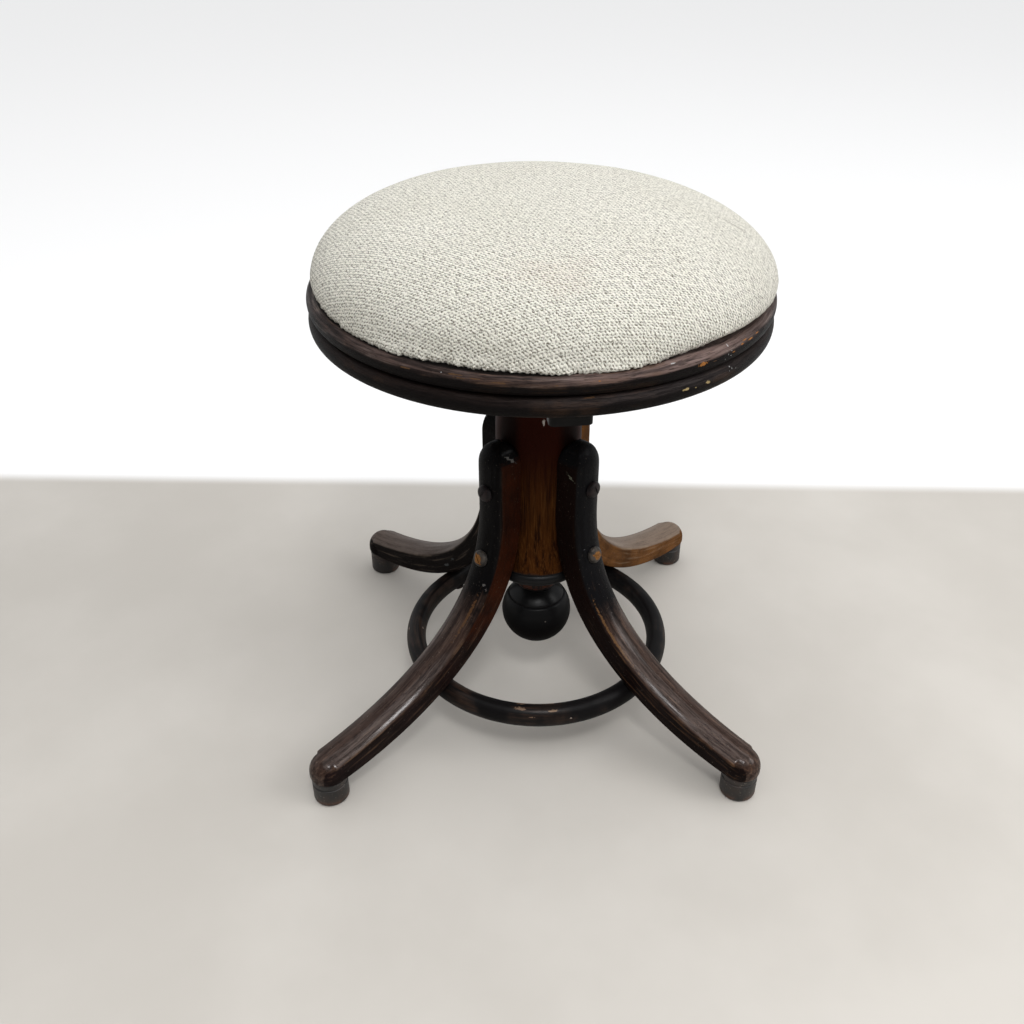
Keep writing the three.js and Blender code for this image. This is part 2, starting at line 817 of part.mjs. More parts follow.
// The ball under the column, with a scribed groove round its shoulder.
function ballProfile() {
  const start = Math.asin(neck_radius / ball_radius);
  const groove = Math.asin(ball_groove_radius / ball_radius);
  const lip = (ball_groove_width * half) / ball_radius;
  const onBall = (angle, radius) => [radius * Math.sin(angle), ball_height + radius * Math.cos(angle)];
  const below = groove + lip;
  const round = Array.from({ length: ball_steps }, (_, k) => (
    below + ((Math.PI - below) * (k + 1)) / (ball_steps + 1)
  ));
  const angles = [start, groove - lip, groove, below, ...round];
  const outline = angles.map((angle) => (
    onBall(angle, angle === groove ? ball_radius - ball_groove_depth : ball_radius)
  ));
  return [...outline, [0, ball_height - ball_radius]];
}

function columnBlank() {
  const flare = flare_shares.map((share) => [
    body_radius + (body_foot_radius - body_radius) * share ** flare_power,
    flare_top + (body_foot - flare_top) * share,
  ]);
  const moulding_foot = body_foot - moulding_height;
  const moulding = moulding_shares.map(([out, rise]) => [
    moulding_radius * out, moulding_foot + moulding_height * rise,
  ]);
  const underside = underside_shares.map(([out, drop]) => [
    collar_radius + (moulding_radius - collar_radius) * out,
    moulding_foot + (collar_top - moulding_foot) * drop,
  ]);
  const collar_foot = collar_top - collar_height;
  const bead = collar_bead_shares.map(([out, rise]) => [
    collar_radius * out, collar_foot + collar_height * rise,
  ]);
  const fillet_foot = collar_foot - collar_fillet_height;
  const [neck_share, drop_share] = neck_top_shares;
  return turned([
    [0, column_top], [drum_radius - drum_edge, column_top], [drum_radius, column_top - drum_edge],
    [drum_radius, drum_underside + body_step], [body_radius, drum_underside],
    [body_radius, flare_top], ...flare, [body_foot_radius, body_foot], ...moulding,
    ...underside, ...bead, [collar_fillet_radius, fillet_foot],
    [neck_radius * neck_share, fillet_foot - collar_fillet_height * drop_share], ...ballProfile(),
  ], column_sides);
}

function column() {
  const beyond = column_top + cut_overrun;
  const cutters = [
    rod(spindle_bore, spindle_bore_floor, beyond, bore_sides),
    rod(nut_radius + hole_gap, nut_foot - seat_gap, beyond, nut_sides),
    ...nutScrewHoles(),
  ];
  leg_azimuths.forEach((azimuth, k) => {
    const turn = THREE.MathUtils.degToRad(azimuth);
    cutters.push(legBar(leg_reaches[k], seat_gap).rotateZ(turn));
    legScrewHeights(k).forEach(({ height }) => {
      cutters.push(legScrewHole(leg_reaches[k], height).rotateZ(turn));
    });
  });
  return cutBy(columnBlank(), cutters);
}

function hoop() {
  const cutters = leg_azimuths.map((azimuth, k) => (
    hoopScrewHole(leg_reaches[k]).rotateZ(THREE.MathUtils.degToRad(azimuth))
  ));
  return cutBy(hoopRing(0), cutters);
}

function addScrew(group, name, geometry, seat, direction, material) {
  const screw = piece(group, name, closed(geometry), material);
  screw.position.copy(seat);
  screw.quaternion.copy(turnTo(direction));
}

// Everything that turns and rises with the seat.
function seat(turn) {
  const group = new THREE.Group();
  group.rotation.z = turn;
  piece(group, 'seat_cushion', cushion(), woven_cloth);
  piece(group, 'seat_board', seatBoard(), plywood);
  piece(group, 'upper_rim_ring', upperRing(), dark_bentwood);
  piece(group, 'lower_rim_ring', lowerRing(), dark_bentwood);
  piece(group, 'long_batten', finishedBatten(true, Math.PI * half), black_wood);
  piece(group, 'cross_batten', finishedBatten(false, 0), black_wood);
  piece(group, 'spindle_flange', flange(), dark_iron);
  piece(group, 'flange_pin', closed(hubPin(hub_pin_radius, hub_radius + hub_pin_proud)), dark_iron);
  piece(group, 'screw_spindle', spindle(), dark_iron);
  rimScrewPlaces().forEach((place, k) => {
    const screw = sunkScrew(rim_screw_radius, rim_screw_head, rim_screw_length, small_screw_sides);
    addScrew(group, `rim_screw_${k + 1}`, screw, place, down, rusty_iron);
  });
  flangeScrewPlaces().forEach((place, k) => {
    const screw = domedScrew(
      flange_screw_radius, flange_screw_head, flange_screw_head_height, flange_screw_length,
      small_screw_sides,
    );
    addScrew(group, `flange_screw_${k + 1}`, screw, place, down, rusty_iron);
  });
  return group;
}

// One leg with its screws, its foot and its hoop screw, in its own upright plane.
function legSet(k) {
  const name = leg_names[k];
  const reach = leg_reaches[k];
  const group = new THREE.Group();
  group.rotation.z = THREE.MathUtils.degToRad(leg_azimuths[k]);
  piece(group, `leg_${name}`, leg(k), name === 'back' ? pale_bentwood : worn_bentwood);
  piece(group, `foot_${name}`, foot(), black_wood).position.x = reach;
  legScrewHeights(k).forEach(({ level, height }) => {
    const { seat: place, normal, length } = legScrewPlace(reach, height);
    const screw = domedScrew(
      leg_screw_radius, leg_screw_head, leg_screw_head_height, length, leg_screw_sides,
    );
    addScrew(group, `leg_screw_${level}_${name}`, screw, place, normal, rusty_iron);
  });
  const { seat: place, inward, length } = hoopScrewPlace(reach);
  const screw = domedScrew(
    hoop_screw_radius, hoop_screw_head, hoop_screw_head_height, length, small_screw_sides,
  );
  addScrew(group, `hoop_screw_${name}`, screw, place, inward, rusty_iron);
  return group;
}

// The column with its nut, the hoop and the four legs.
function base(turn) {
  const group = new THREE.Group();
  piece(group, 'column', column(), turned_wood);
  piece(group, 'spindle_nut', spindleNut(turn), dark_iron);
  nutScrewPlaces().forEach((place, k) => {
    const screw = sunkScrew(nut_screw_radius, nut_screw_head, nut_screw_length, small_screw_sides);
    addScrew(group, `nut_screw_${k + 1}`, screw, place, up, rusty_iron);
  });
  piece(group, 'hoop', hoop(), black_wood);
  leg_names.forEach((_, k) => group.add(legSet(k)));
  return group;
}

const rest_turn = THREE.MathUtils.degToRad(seat_turn_at_rest);
const group = new THREE.Group();
group.add(base(rest_turn));
piece(group, 'stop_washer', stopWasher(), leather);
group.add(seat(rest_turn));

export default group;
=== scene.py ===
import math

import bmesh
import bpy
import numpy as np
from mathutils import Matrix, Vector


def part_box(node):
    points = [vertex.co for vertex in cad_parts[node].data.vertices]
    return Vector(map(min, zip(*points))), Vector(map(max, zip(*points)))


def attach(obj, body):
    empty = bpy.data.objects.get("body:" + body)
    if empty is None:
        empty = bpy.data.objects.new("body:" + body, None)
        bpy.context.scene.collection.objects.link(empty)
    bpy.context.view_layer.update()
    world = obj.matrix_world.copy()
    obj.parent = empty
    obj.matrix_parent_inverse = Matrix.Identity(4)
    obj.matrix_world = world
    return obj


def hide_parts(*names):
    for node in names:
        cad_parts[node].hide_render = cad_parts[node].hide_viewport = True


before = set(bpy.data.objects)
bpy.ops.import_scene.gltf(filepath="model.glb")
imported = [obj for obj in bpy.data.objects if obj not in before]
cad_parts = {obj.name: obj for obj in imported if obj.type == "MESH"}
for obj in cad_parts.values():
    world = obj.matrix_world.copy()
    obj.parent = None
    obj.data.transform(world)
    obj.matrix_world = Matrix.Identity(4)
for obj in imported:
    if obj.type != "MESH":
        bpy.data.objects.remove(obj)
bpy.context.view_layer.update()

# Column: one piece of turned beech, with a drum at the top, a body that flares down to a collar and
# a neck, and a ball under it. It is bored from above for the spindle and has a wider recess for the
# nut. Its lacquer is dark red on the drum, worn to warm brown on the body, and black on the ball.
# The dark red towards the top is partly painted shade under the seat, the body is painted darker
# beside the legs as shade, and the ball has painted sheen on its top and painted shade underneath.
mm = 0.001


class Value:
    """A number, colour or vector inside a node tree; sums on it add their own Math nodes."""

    def __init__(self, net, socket):
        self.net = net
        self.socket = socket

    def sum(self, operation, *others, first=None):
        terms = (self, *others) if first is None else (first, self)
        return self.net.node("ShaderNodeMath", {"operation": operation}, dict(enumerate(terms)))

    def __add__(self, other):
        return self.sum("ADD", other)

    def __sub__(self, other):
        return self.sum("SUBTRACT", other)

    def __rsub__(self, other):
        return self.sum("SUBTRACT", first=other)

    def __mul__(self, other):
        return self.sum("MULTIPLY", other)

    def __truediv__(self, other):
        return self.sum("DIVIDE", other)

    def __pow__(self, other):
        return self.sum("POWER", other)

    __radd__ = __add__
    __rmul__ = __mul__

    def band(self, low, high):
        """0 below low, 1 above high, and a smooth step between them."""
        return self.net.node("ShaderNodeMapRange", {"interpolation_type": "SMOOTHSTEP"},
                             {"Value": self, "From Min": low, "From Max": high})

    def part(self, axis):
        return self.net.node("ShaderNodeSeparateXYZ", {}, {0: self}, axis)

    def stretched(self, along):
        return self.net.node("ShaderNodeVectorMath", {"operation": "MULTIPLY"}, {0: self, 1: along})

    def length(self):
        return self.net.node("ShaderNodeVectorMath", {"operation": "LENGTH"}, {0: self}, "Value")

    def azimuth(self):
        return self.part("Y").sum("ARCTAN2", self.part("X"))


class Net:
    """A node tree. node() takes a node's type, its settings and what its sockets hold."""

    def __init__(self, tree):
        self.tree = tree

    def node(self, kind, settings, sockets, out=0):
        made = self.tree.nodes.new(kind)
        for name, value in settings.items():
            setattr(made, name, value)
        for name, value in sockets.items():
            self.feed(made.inputs[name], value)
        return Value(self, made.outputs[out])

    def vector(self, x=0.0, y=0.0, z=0.0):
        return self.node("ShaderNodeCombineXYZ", {}, {"X": x, "Y": y, "Z": z})

    def feed(self, socket, value):
        if isinstance(value, Value):
            self.tree.links.new(value.socket, socket)
        elif socket.type == "RGBA" and len(value) == 3:
            socket.default_value = (*value, 1.0)
        else:
            socket.default_value = value


class Finish(Net):
    """The finish of a surface: a material with the sums that make its colour, gloss and relief."""

    def __init__(self, name):
        self.material = bpy.data.materials.new(name)
        self.material.use_nodes = True
        super().__init__(self.material.node_tree)
        self.shader = self.tree.nodes["Principled BSDF"]

    def place(self):
        return self.node("ShaderNodeTexCoord", {}, {}, "Object")

    def kept(self, name, out="Vector"):
        return self.node("ShaderNodeAttribute", {"attribute_name": name}, {}, out)

    def grain(self, vector, scale, detail=3.0, rough=0.55, w=None):
        settings = {"noise_dimensions": "3D" if w is None else "4D"}
        sockets = {"Vector": vector, "Scale": scale, "Detail": detail, "Roughness": rough}
        if w is not None:
            sockets["W"] = w
        return self.node("ShaderNodeTexNoise", settings, sockets)

    def mix(self, share, below, above):
        return self.node("ShaderNodeMix", {"data_type": "RGBA"}, {0: share, 6: below, 7: above}, 2)

    def relief(self, height, depth, strength=1.0, over=None):
        sockets = {"Height": height, "Distance": depth, "Strength": strength}
        if over is not None:
            sockets["Normal"] = over
        return self.node("ShaderNodeBump", {}, sockets)

    def marked(self, colour, along, across, spots):
        """Lay small ragged spots over a colour. Each spot is its place along and across and its half
        length and half width, in mm, and its tint."""
        ragged = self.grain(self.place(), 520.0, 3.0, 0.7)
        for place_along, place_across, long, tall, tint in spots:
            off = (along - place_along * mm) / (long * mm)
            up = (across - place_across * mm) / (tall * mm)
            far = (off * off + up * up).sum("SQRT") + (ragged - 0.42) * 2.2
            colour = self.mix(1.0 - far.band(0.7, 1.05), colour, tint)
        return colour

    def wear(self, **sockets):
        """Set or link the shader's sockets, named with _ for a space, and give the material."""
        for name, value in sockets.items():
            self.feed(self.shader.inputs[name.replace("_", " ")], value)
        return self.material


def in_scene(name, data):
    made = bpy.data.objects.new(name, data)
    bpy.context.scene.collection.objects.link(made)
    return made


def settled(piece):
    """Keep what a piece's modifiers make of it as its plain mesh."""
    seen = piece.evaluated_get(bpy.context.evaluated_depsgraph_get())
    plain = bpy.data.meshes.new_from_object(seen)
    piece.modifiers.clear()
    piece.data = plain
    return piece


class Former(Net):
    """A geometry tree with named inputs. form() runs it on a mesh and keeps the plain result."""

    def __init__(self, name, inputs):
        super().__init__(bpy.data.node_groups.new(name, "GeometryNodeTree"))
        face = self.tree.interface
        face.new_socket("Geometry", in_out="INPUT", socket_type="NodeSocketGeometry")
        for label, kind in {**inputs, "Finish": "NodeSocketMaterial"}.items():
            face.new_socket(label, in_out="INPUT", socket_type=kind)
        face.new_socket("Geometry", in_out="OUTPUT", socket_type="NodeSocketGeometry")
        self.entry = self.tree.nodes.new("NodeGroupInput")

    def given(self, label):
        return Value(self, self.entry.outputs[label])

    def close(self, geometry):
        whole = self.node("GeometryNodeRealizeInstances", {}, {0: geometry})
        done = self.node("GeometryNodeSetMaterial", {},
                         {"Geometry": whole, "Material": self.given("Finish")})
        leave = self.tree.nodes.new("NodeGroupOutput")
        self.tree.links.new(done.socket, leave.inputs[0])

    def form(self, name, mesh, values):
        piece = in_scene(name, mesh)
        shaping = piece.modifiers.new("shaping", "NODES")
        shaping.node_group = self.tree
        for item in self.tree.interface.items_tree:
            if item.in_out == "INPUT" and item.name in values:
                shaping[item.identifier] = values[item.name]
        return settled(piece)


def fitted(piece, body, slot, *nodes):
    """A piece rides on a body and stands for the CAD nodes. Its slot is not used."""
    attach(piece, body)
    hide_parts(*nodes)


def face_outwards(mesh, crease=35):
    """Turn a closed shell so that its faces point out, and keep its real edges sharp."""
    shell = bmesh.new()
    shell.from_mesh(mesh)
    bmesh.ops.recalc_face_normals(shell, faces=shell.faces)
    if shell.calc_volume(signed=True) < 0:
        bmesh.ops.reverse_faces(shell, faces=shell.faces)
    shell.to_mesh(mesh)
    shell.free()
    mesh.shade_smooth()
    mesh.set_sharp_from_angle(angle=math.radians(crease))


# The lathe takes a profile as bare points, radius along X and height along Z, and turns each one
# round the axis. A ring's profile closes on itself.
lathe = Former("lathe", {"Sides": "NodeSocketInt", "Rows": "NodeSocketInt", "Points": "NodeSocketInt",
                         "Wander": "NodeSocketFloat"})
sheet = lathe.node("GeometryNodeMeshGrid", {}, {
    "Size X": 1.0, "Size Y": 1.0, "Vertices X": lathe.given("Sides") + 1, "Vertices Y": lathe.given("Rows"),
})
spot = lathe.node("GeometryNodeInputPosition", {}, {})
turn = (spot.part("X") + 0.5) * math.tau
rank = ((spot.part("Y") + 0.5) * (lathe.given("Rows") - 1)).sum("ROUND")
row = rank.sum("MODULO", lathe.given("Points"))
point = lathe.node("GeometryNodeSampleIndex", {"data_type": "FLOAT_VECTOR"}, {
    "Geometry": lathe.given("Geometry"), "Value": spot, "Index": row,
})
out_by = point.part("X")
round_place = lathe.vector(out_by * turn.sum("COSINE"), out_by * turn.sum("SINE"), point.part("Z"))
uneven = lathe.node("ShaderNodeTexNoise", {}, {"Vector": round_place, "Scale": 9.0, "Detail": 1.0})
nudge = (uneven - 0.5) * lathe.given("Wander")
swell = round_place.stretched((1.0, 1.0, 0.4))
shaped = lathe.node("ShaderNodeVectorMath", {"operation": "MULTIPLY_ADD"}, {
    0: swell, 1: lathe.vector(nudge, nudge, nudge), 2: round_place,
})
skin = lathe.node("GeometryNodeSetPosition", {}, {"Geometry": sheet, "Position": shaped})
joined = lathe.node("GeometryNodeMergeByDistance", {}, {"Geometry": skin, "Distance": 0.00001})
lathe.close(joined)


def turned(name, profile, finish, sides=128, ring=False, wander=0.0, crease=35):
    mesh = bpy.data.meshes.new(name)
    mesh.from_pydata([(r * mm, 0.0, z * mm) for r, z in profile], [], [])
    rows = len(profile) + (1 if ring else 0)
    piece = lathe.form(name, mesh, {"Sides": sides, "Rows": rows, "Points": len(profile),
                                    "Wander": wander, "Finish": finish})
    face_outwards(piece.data, crease)
    return piece


def arc(centre, radius, start, end, steps, squash=1.0):
    """Points of an arc in a profile, from one angle to another in degrees."""
    angles = [math.radians(start + (end - start) * k / steps) for k in range(steps + 1)]
    return [(centre[0] + radius * math.cos(a), centre[1] + radius * squash * math.sin(a)) for a in angles]


def eased(points, steps):
    """A smooth line through a profile's points."""
    ends = [points[0], *points, points[-1]]
    line = []
    for k in range(1, len(ends) - 2):
        a, b, c, d = (Vector(p) for p in ends[k - 1:k + 3])
        for step in range(steps):
            t = step / steps
            line.append(tuple(0.5 * (2 * b + (c - a) * t + (2 * a - 5 * b + 4 * c - d) * t * t
                                     + (3 * b - a - 3 * c + d) * t ** 3)))
    return [*line, tuple(points[-1])]


def column_finish():
    """Dark red on the drum, partly painted shade under the seat; warm brown with golden fibres between
    the legs, painted darker beside them as shade; black under the collar, with painted sheen on the
    ball's top and painted shade beneath it.
    """
    finish = Finish("column_lacquer")
    place = finish.place()
    streaks = finish.grain(place.stretched((300.0, 300.0, 16.0)), 1.0, 6.0, 0.6, 0.0)
    fibres = finish.grain(place.stretched((1100.0, 1100.0, 34.0)), 1.0, 4.0, 0.65, 0.0)
    coat = finish.grain(place, 40.0, 4.0)
    height = place.part("Z") + (coat - 0.5) * 0.008
    body = height.band(0.1455, 0.149)
    brown = finish.mix(streaks.band(0.36, 0.6), (0.014, 0.0034, 0.0008), (0.05, 0.0155, 0.0026))
    brown = finish.mix(fibres.band(0.5, 0.62) * 0.5, brown, (0.1, 0.039, 0.009))
    # Darker red towards the top: partly painted shade under the seat.
    brown = finish.mix(height.band(0.205, 0.275), brown, (0.019, 0.0028, 0.0008))
    turn_by = place.azimuth()
    # Painted shade: the body goes nearly black beside each leg.
    shade_by_legs = ((turn_by + 0.02) * 4.0).sum("COSINE") + (coat - 0.5) * 0.6
    brown = finish.mix(shade_by_legs.band(-0.1, 0.9) * 0.85, brown, (0.003, 0.0014, 0.001))
    # Below the collar: painted grey sheen over the ball's top and painted shade, near black, underneath.
    ebony_sheen_and_shade = finish.mix(height.band(0.06, 0.09), (0.0016, 0.0009, 0.0008), (0.0058, 0.0057, 0.006))
    colour = finish.mix(body, ebony_sheen_and_shade, brown)
    red_edge = height.band(0.111, 0.115) * (1.0 - height.band(0.128, 0.133)) * streaks.band(0.38, 0.56)
    colour = finish.mix(red_edge * 0.7, colour, (0.09, 0.026, 0.014))
    colour = finish.marked(colour, turn_by * 0.036, place.part("Z"), [
        (-25.9, 296.0, 1.3, 3.6, (0.42, 0.39, 0.36)), (-20.0, 84.0, 1.0, 0.7, (0.1, 0.09, 0.08)),
    ])
    ripple = finish.relief(coat, 0.001, 0.3)
    return finish.wear(Base_Color=colour, Roughness=0.45 + coat * 0.12 + fibres * 0.12,
                       Specular_IOR_Level=0.03, Coat_Roughness=0.3,
                       Coat_Weight=(1.0 - body) * height.band(0.075, 0.105) * 0.26,
                       Normal=finish.relief(streaks * 0.5 + fibres * 0.5, 0.00016, 0.7, ripple))


bore, recess, drum, drum_top, body_waist, collar_top = 12.8, 18.3, 36, 312, 36.6, 197
ball, ball_level, score_angle, score_depth, score_width = 32.4, 77, 54.3, 1.2, 0.8
column_profile = [(0, 151.7), (bore, 151.7), (bore, 271.7), (recess, 271.7), (recess, drum_top)]
column_profile.append((33.8, drum_top))
column_profile += arc((33.8, 309.8), 2.2, 80, 0, 6)
column_profile += [(drum, 300), (drum, 290), (36.2, 284)]
column_profile += [(body_waist, level) for level in (276, 240, 212, collar_top)]
column_profile += [(body_waist + 6.4 * (k / 12) ** 1.8, collar_top - 49.6 * k / 12) for k in range(1, 13)]
column_profile += arc((42.2, 147.2), 0.8, -10, -80, 4) + [(41.8, 145.9), (42.3, 145.2)]
column_profile += arc((38.0, 139.3), 6.1, 70, -64, 16, 1.02)
column_profile += eased([(39.6, 132.9), (35.0, 131.7), (30.0, 130.0), (26.2, 127.8), (23.4, 125.8)], 4)
column_profile += arc((20.6, 122.6), 2.0, 70, 0, 4) + arc((20.6, 117.2), 2.0, 0, -70, 4)
column_profile += eased([(20.7, 114.4), (20.2, 112.6), (18.6, 110.6), (16.4, 108.9), (15.2, 107.2)], 4)
for degree in np.linspace(math.degrees(math.asin(15 / ball)), 180, 110):
    score = score_depth * math.exp(-((math.radians(degree - score_angle) * ball) / score_width) ** 2)
    reach = ball - score
    column_profile.append((max(reach * math.sin(math.radians(degree)), 0.0),
                           ball_level + reach * math.cos(math.radians(degree))))
column_profile[-1] = (0, ball_level - ball)
column = turned("turned_column", column_profile, column_finish(), sides=160, wander=0.008)
fitted(column, "base", "column_wood", "column")

# Legs: four bars of beech, steamed and bent. Each is screwed to the column with its flat inner face,
# has a domed outer face with crisp edges, and ends in a round nose over its foot.
leg_names = ("front", "right", "back", "left")
leg_azimuths = (265.7, 1.7, 94.0, 178.6)
leg_reaches = (240.0, 232.0, 238.0, 236.0)
leg_top, leg_round, leg_centre, nose_level = 276.0, 22.5, 46.1, 35.3
bend_top, straight_steps, leg_thickness, nose_thinner = 211.6, 24, 28, 5
leg_side, leg_dome, leg_ease, foot_seat = 15, 5.5, 1.8, 25.7
straight_foot, nose_slope, drop_share, run_share, nose_radius = 212.5, 7.4, 0.748, 0.318, 16.3


def leg_line(reach):
    """Centre points, normals, lengths and thicknesses down a leg, in its own upright plane."""
    slope = math.radians(nose_slope)
    drop, run = (bend_top - nose_level) * drop_share, (reach - leg_centre) * run_share
    ctrl = np.array([(leg_centre, bend_top), (leg_centre, bend_top - drop),
                     (reach - run * math.cos(slope), nose_level + run * math.sin(slope)),
                     (reach, nose_level)])
    t = np.linspace(0, 1, 121)[:, None]
    bend = ((1 - t) ** 3 * ctrl[0] + 3 * (1 - t) ** 2 * t * ctrl[1]
            + 3 * (1 - t) * t * t * ctrl[2] + t ** 3 * ctrl[3])
    straight = np.stack([np.full(straight_steps, leg_centre),
                         np.linspace(leg_top, straight_foot, straight_steps)], 1)
    line = np.concatenate([straight, bend])
    step = np.gradient(line, axis=0)
    step /= np.linalg.norm(step, axis=1)[:, None]
    normal = np.stack([-step[:, 1], step[:, 0]], 1)
    length = np.concatenate([[0], np.cumsum(np.linalg.norm(np.diff(line, axis=0), axis=1))])
    along = np.concatenate([np.zeros(straight_steps), t[:, 0]])
    return line, normal, length, leg_thickness - nose_thinner * along ** 3


def leg_outline(thickness):
    """The leg's section: a flat inner face, flat sides and a domed outer face."""
    bow = (leg_side * leg_side + leg_dome * leg_dome) / (2 * leg_dome)
    span = math.asin(leg_side / bow)
    crown = [(bow * math.sin(a), thickness / 2 - bow + bow * math.cos(a))
             for a in np.linspace(span, -span, 17)]
    right = arc((leg_side - leg_ease, -thickness / 2 + leg_ease), leg_ease, -90, 0, 4)
    left = [(-a, b) for a, b in reversed(right)]
    return left + right + [(leg_side, 0.0)] + crown + [(-leg_side, 0.0)]


def leg_shell(reach):
    """Rows of points: over the leg's rounded top, and then down its line to the nose."""
    line, normal, _, thick = leg_line(reach)
    rows = []
    for k in range(12, 0, -1):
        a = k / 12.5 * math.pi / 2
        height = leg_top - leg_round + leg_round * math.sin(a)
        rows.append([(leg_centre + b * math.cos(a), c * math.cos(a), height)
                     for c, b in leg_outline(leg_thickness)])
    for p, n, t in zip(line, normal, thick):
        if p[1] < leg_top - leg_round + 0.1:
            rows.append([(p[0] + n[0] * b, c, p[1] + n[1] * b) for c, b in leg_outline(t)])
    return rows


def skinned(rows):
    """Closed faces over rows of points, with a pole at each end."""
    count = len(rows[0])
    points = [p for row in rows for p in row]
    faces = [(s + k, s + (k + 1) % count, s + count + (k + 1) % count, s + count + k)
             for s in range(0, (len(rows) - 1) * count, count) for k in range(count)]
    for start, row in ((0, rows[0]), ((len(rows) - 1) * count, rows[-1])):
        points.append(tuple(np.mean(row, axis=0)))
        faces += [(start + k, start + (k + 1) % count, len(points) - 1) for k in range(count)]
    return points, faces


def leg_piece(name, reach, azimuth, finish):
    points, faces = skinned(leg_shell(reach))
    nose = [(15.6, foot_seat), (nose_radius, 26.6), (nose_radius, 31)]
    nose += arc((0, 31.2), nose_radius, 0, 90, 14, 0.96)[:-1]
    boss = [[(reach + r * math.cos(a), r * math.sin(a), z)
             for a in np.linspace(0, math.tau, 48, endpoint=False)] for r, z in nose]
    more_points, more_faces = skinned(boss)
    base = len(points)
    points += more_points
    faces += [tuple(i + base for i in face) for face in more_faces]
    mesh = bpy.data.meshes.new(name)
    mesh.from_pydata([(x * mm, y * mm, z * mm) for x, y, z in points], [], faces)
    piece = in_scene(name, mesh)
    shell = bmesh.new()
    shell.from_mesh(mesh)
    bmesh.ops.recalc_face_normals(shell, faces=shell.faces)
    shell.to_mesh(mesh)
    shell.free()
    knit = piece.modifiers.new("knit", "REMESH")
    knit.mode, knit.voxel_size, knit.use_smooth_shade = "VOXEL", 1.05 * mm, True
    ease = piece.modifiers.new("ease", "SMOOTH")
    ease.factor, ease.iterations = 0.5, 4
    plain = settled(piece).data
    place = np.empty(len(plain.vertices) * 3)
    plain.vertices.foreach_get("co", place)
    place = place.reshape(-1, 3) / mm
    near = (np.hypot(place[:, 0] - reach, place[:, 1]) < 22) & (place[:, 2] < foot_seat)
    place[near, 2] = foot_seat
    line, normal, length, thick = leg_line(reach)
    gap = (place[:, None, 0] - line[None, :, 0]) ** 2 + (place[:, None, 2] - line[None, :, 1]) ** 2
    best = gap.argmin(axis=1)
    off = place[:, [0, 2]] - line[best]
    deep = (off * normal[best]).sum(axis=1)
    half = thick[best] / 2
    crisp = np.hypot(np.abs(place[:, 1]) - leg_side, deep - (half - leg_dome))
    low_edge = np.hypot(np.abs(place[:, 1]) - leg_side, deep + half)
    rub = np.exp(-(crisp / 1.5) ** 2) + 0.5 * np.exp(-(low_edge / 1.4) ** 2)
    flank = np.sign(place[:, 1]) * np.clip((half - 5.0 - deep) / 1.4, 0, 1) * (np.abs(place[:, 1]) > 11)
    lay = np.stack([length[best], place[:, 1], deep], 1) * mm
    turn = math.radians(azimuth)
    x, y = place[:, 0].copy(), place[:, 1].copy()
    place[:, 0] = x * math.cos(turn) - y * math.sin(turn)
    place[:, 1] = x * math.sin(turn) + y * math.cos(turn)
    plain.vertices.foreach_set("co", (place * mm).ravel())
    for label, values in (("lay", lay), ("rub", rub), ("flank", flank)):
        kind, field = ("FLOAT_VECTOR", "vector") if label == "lay" else ("FLOAT", "value")
        plain.attributes.new(label, kind, "POINT").data.foreach_set(field, values.ravel())
    plain.materials.append(finish)
    plain.shade_smooth()
    plain.update()
    return piece


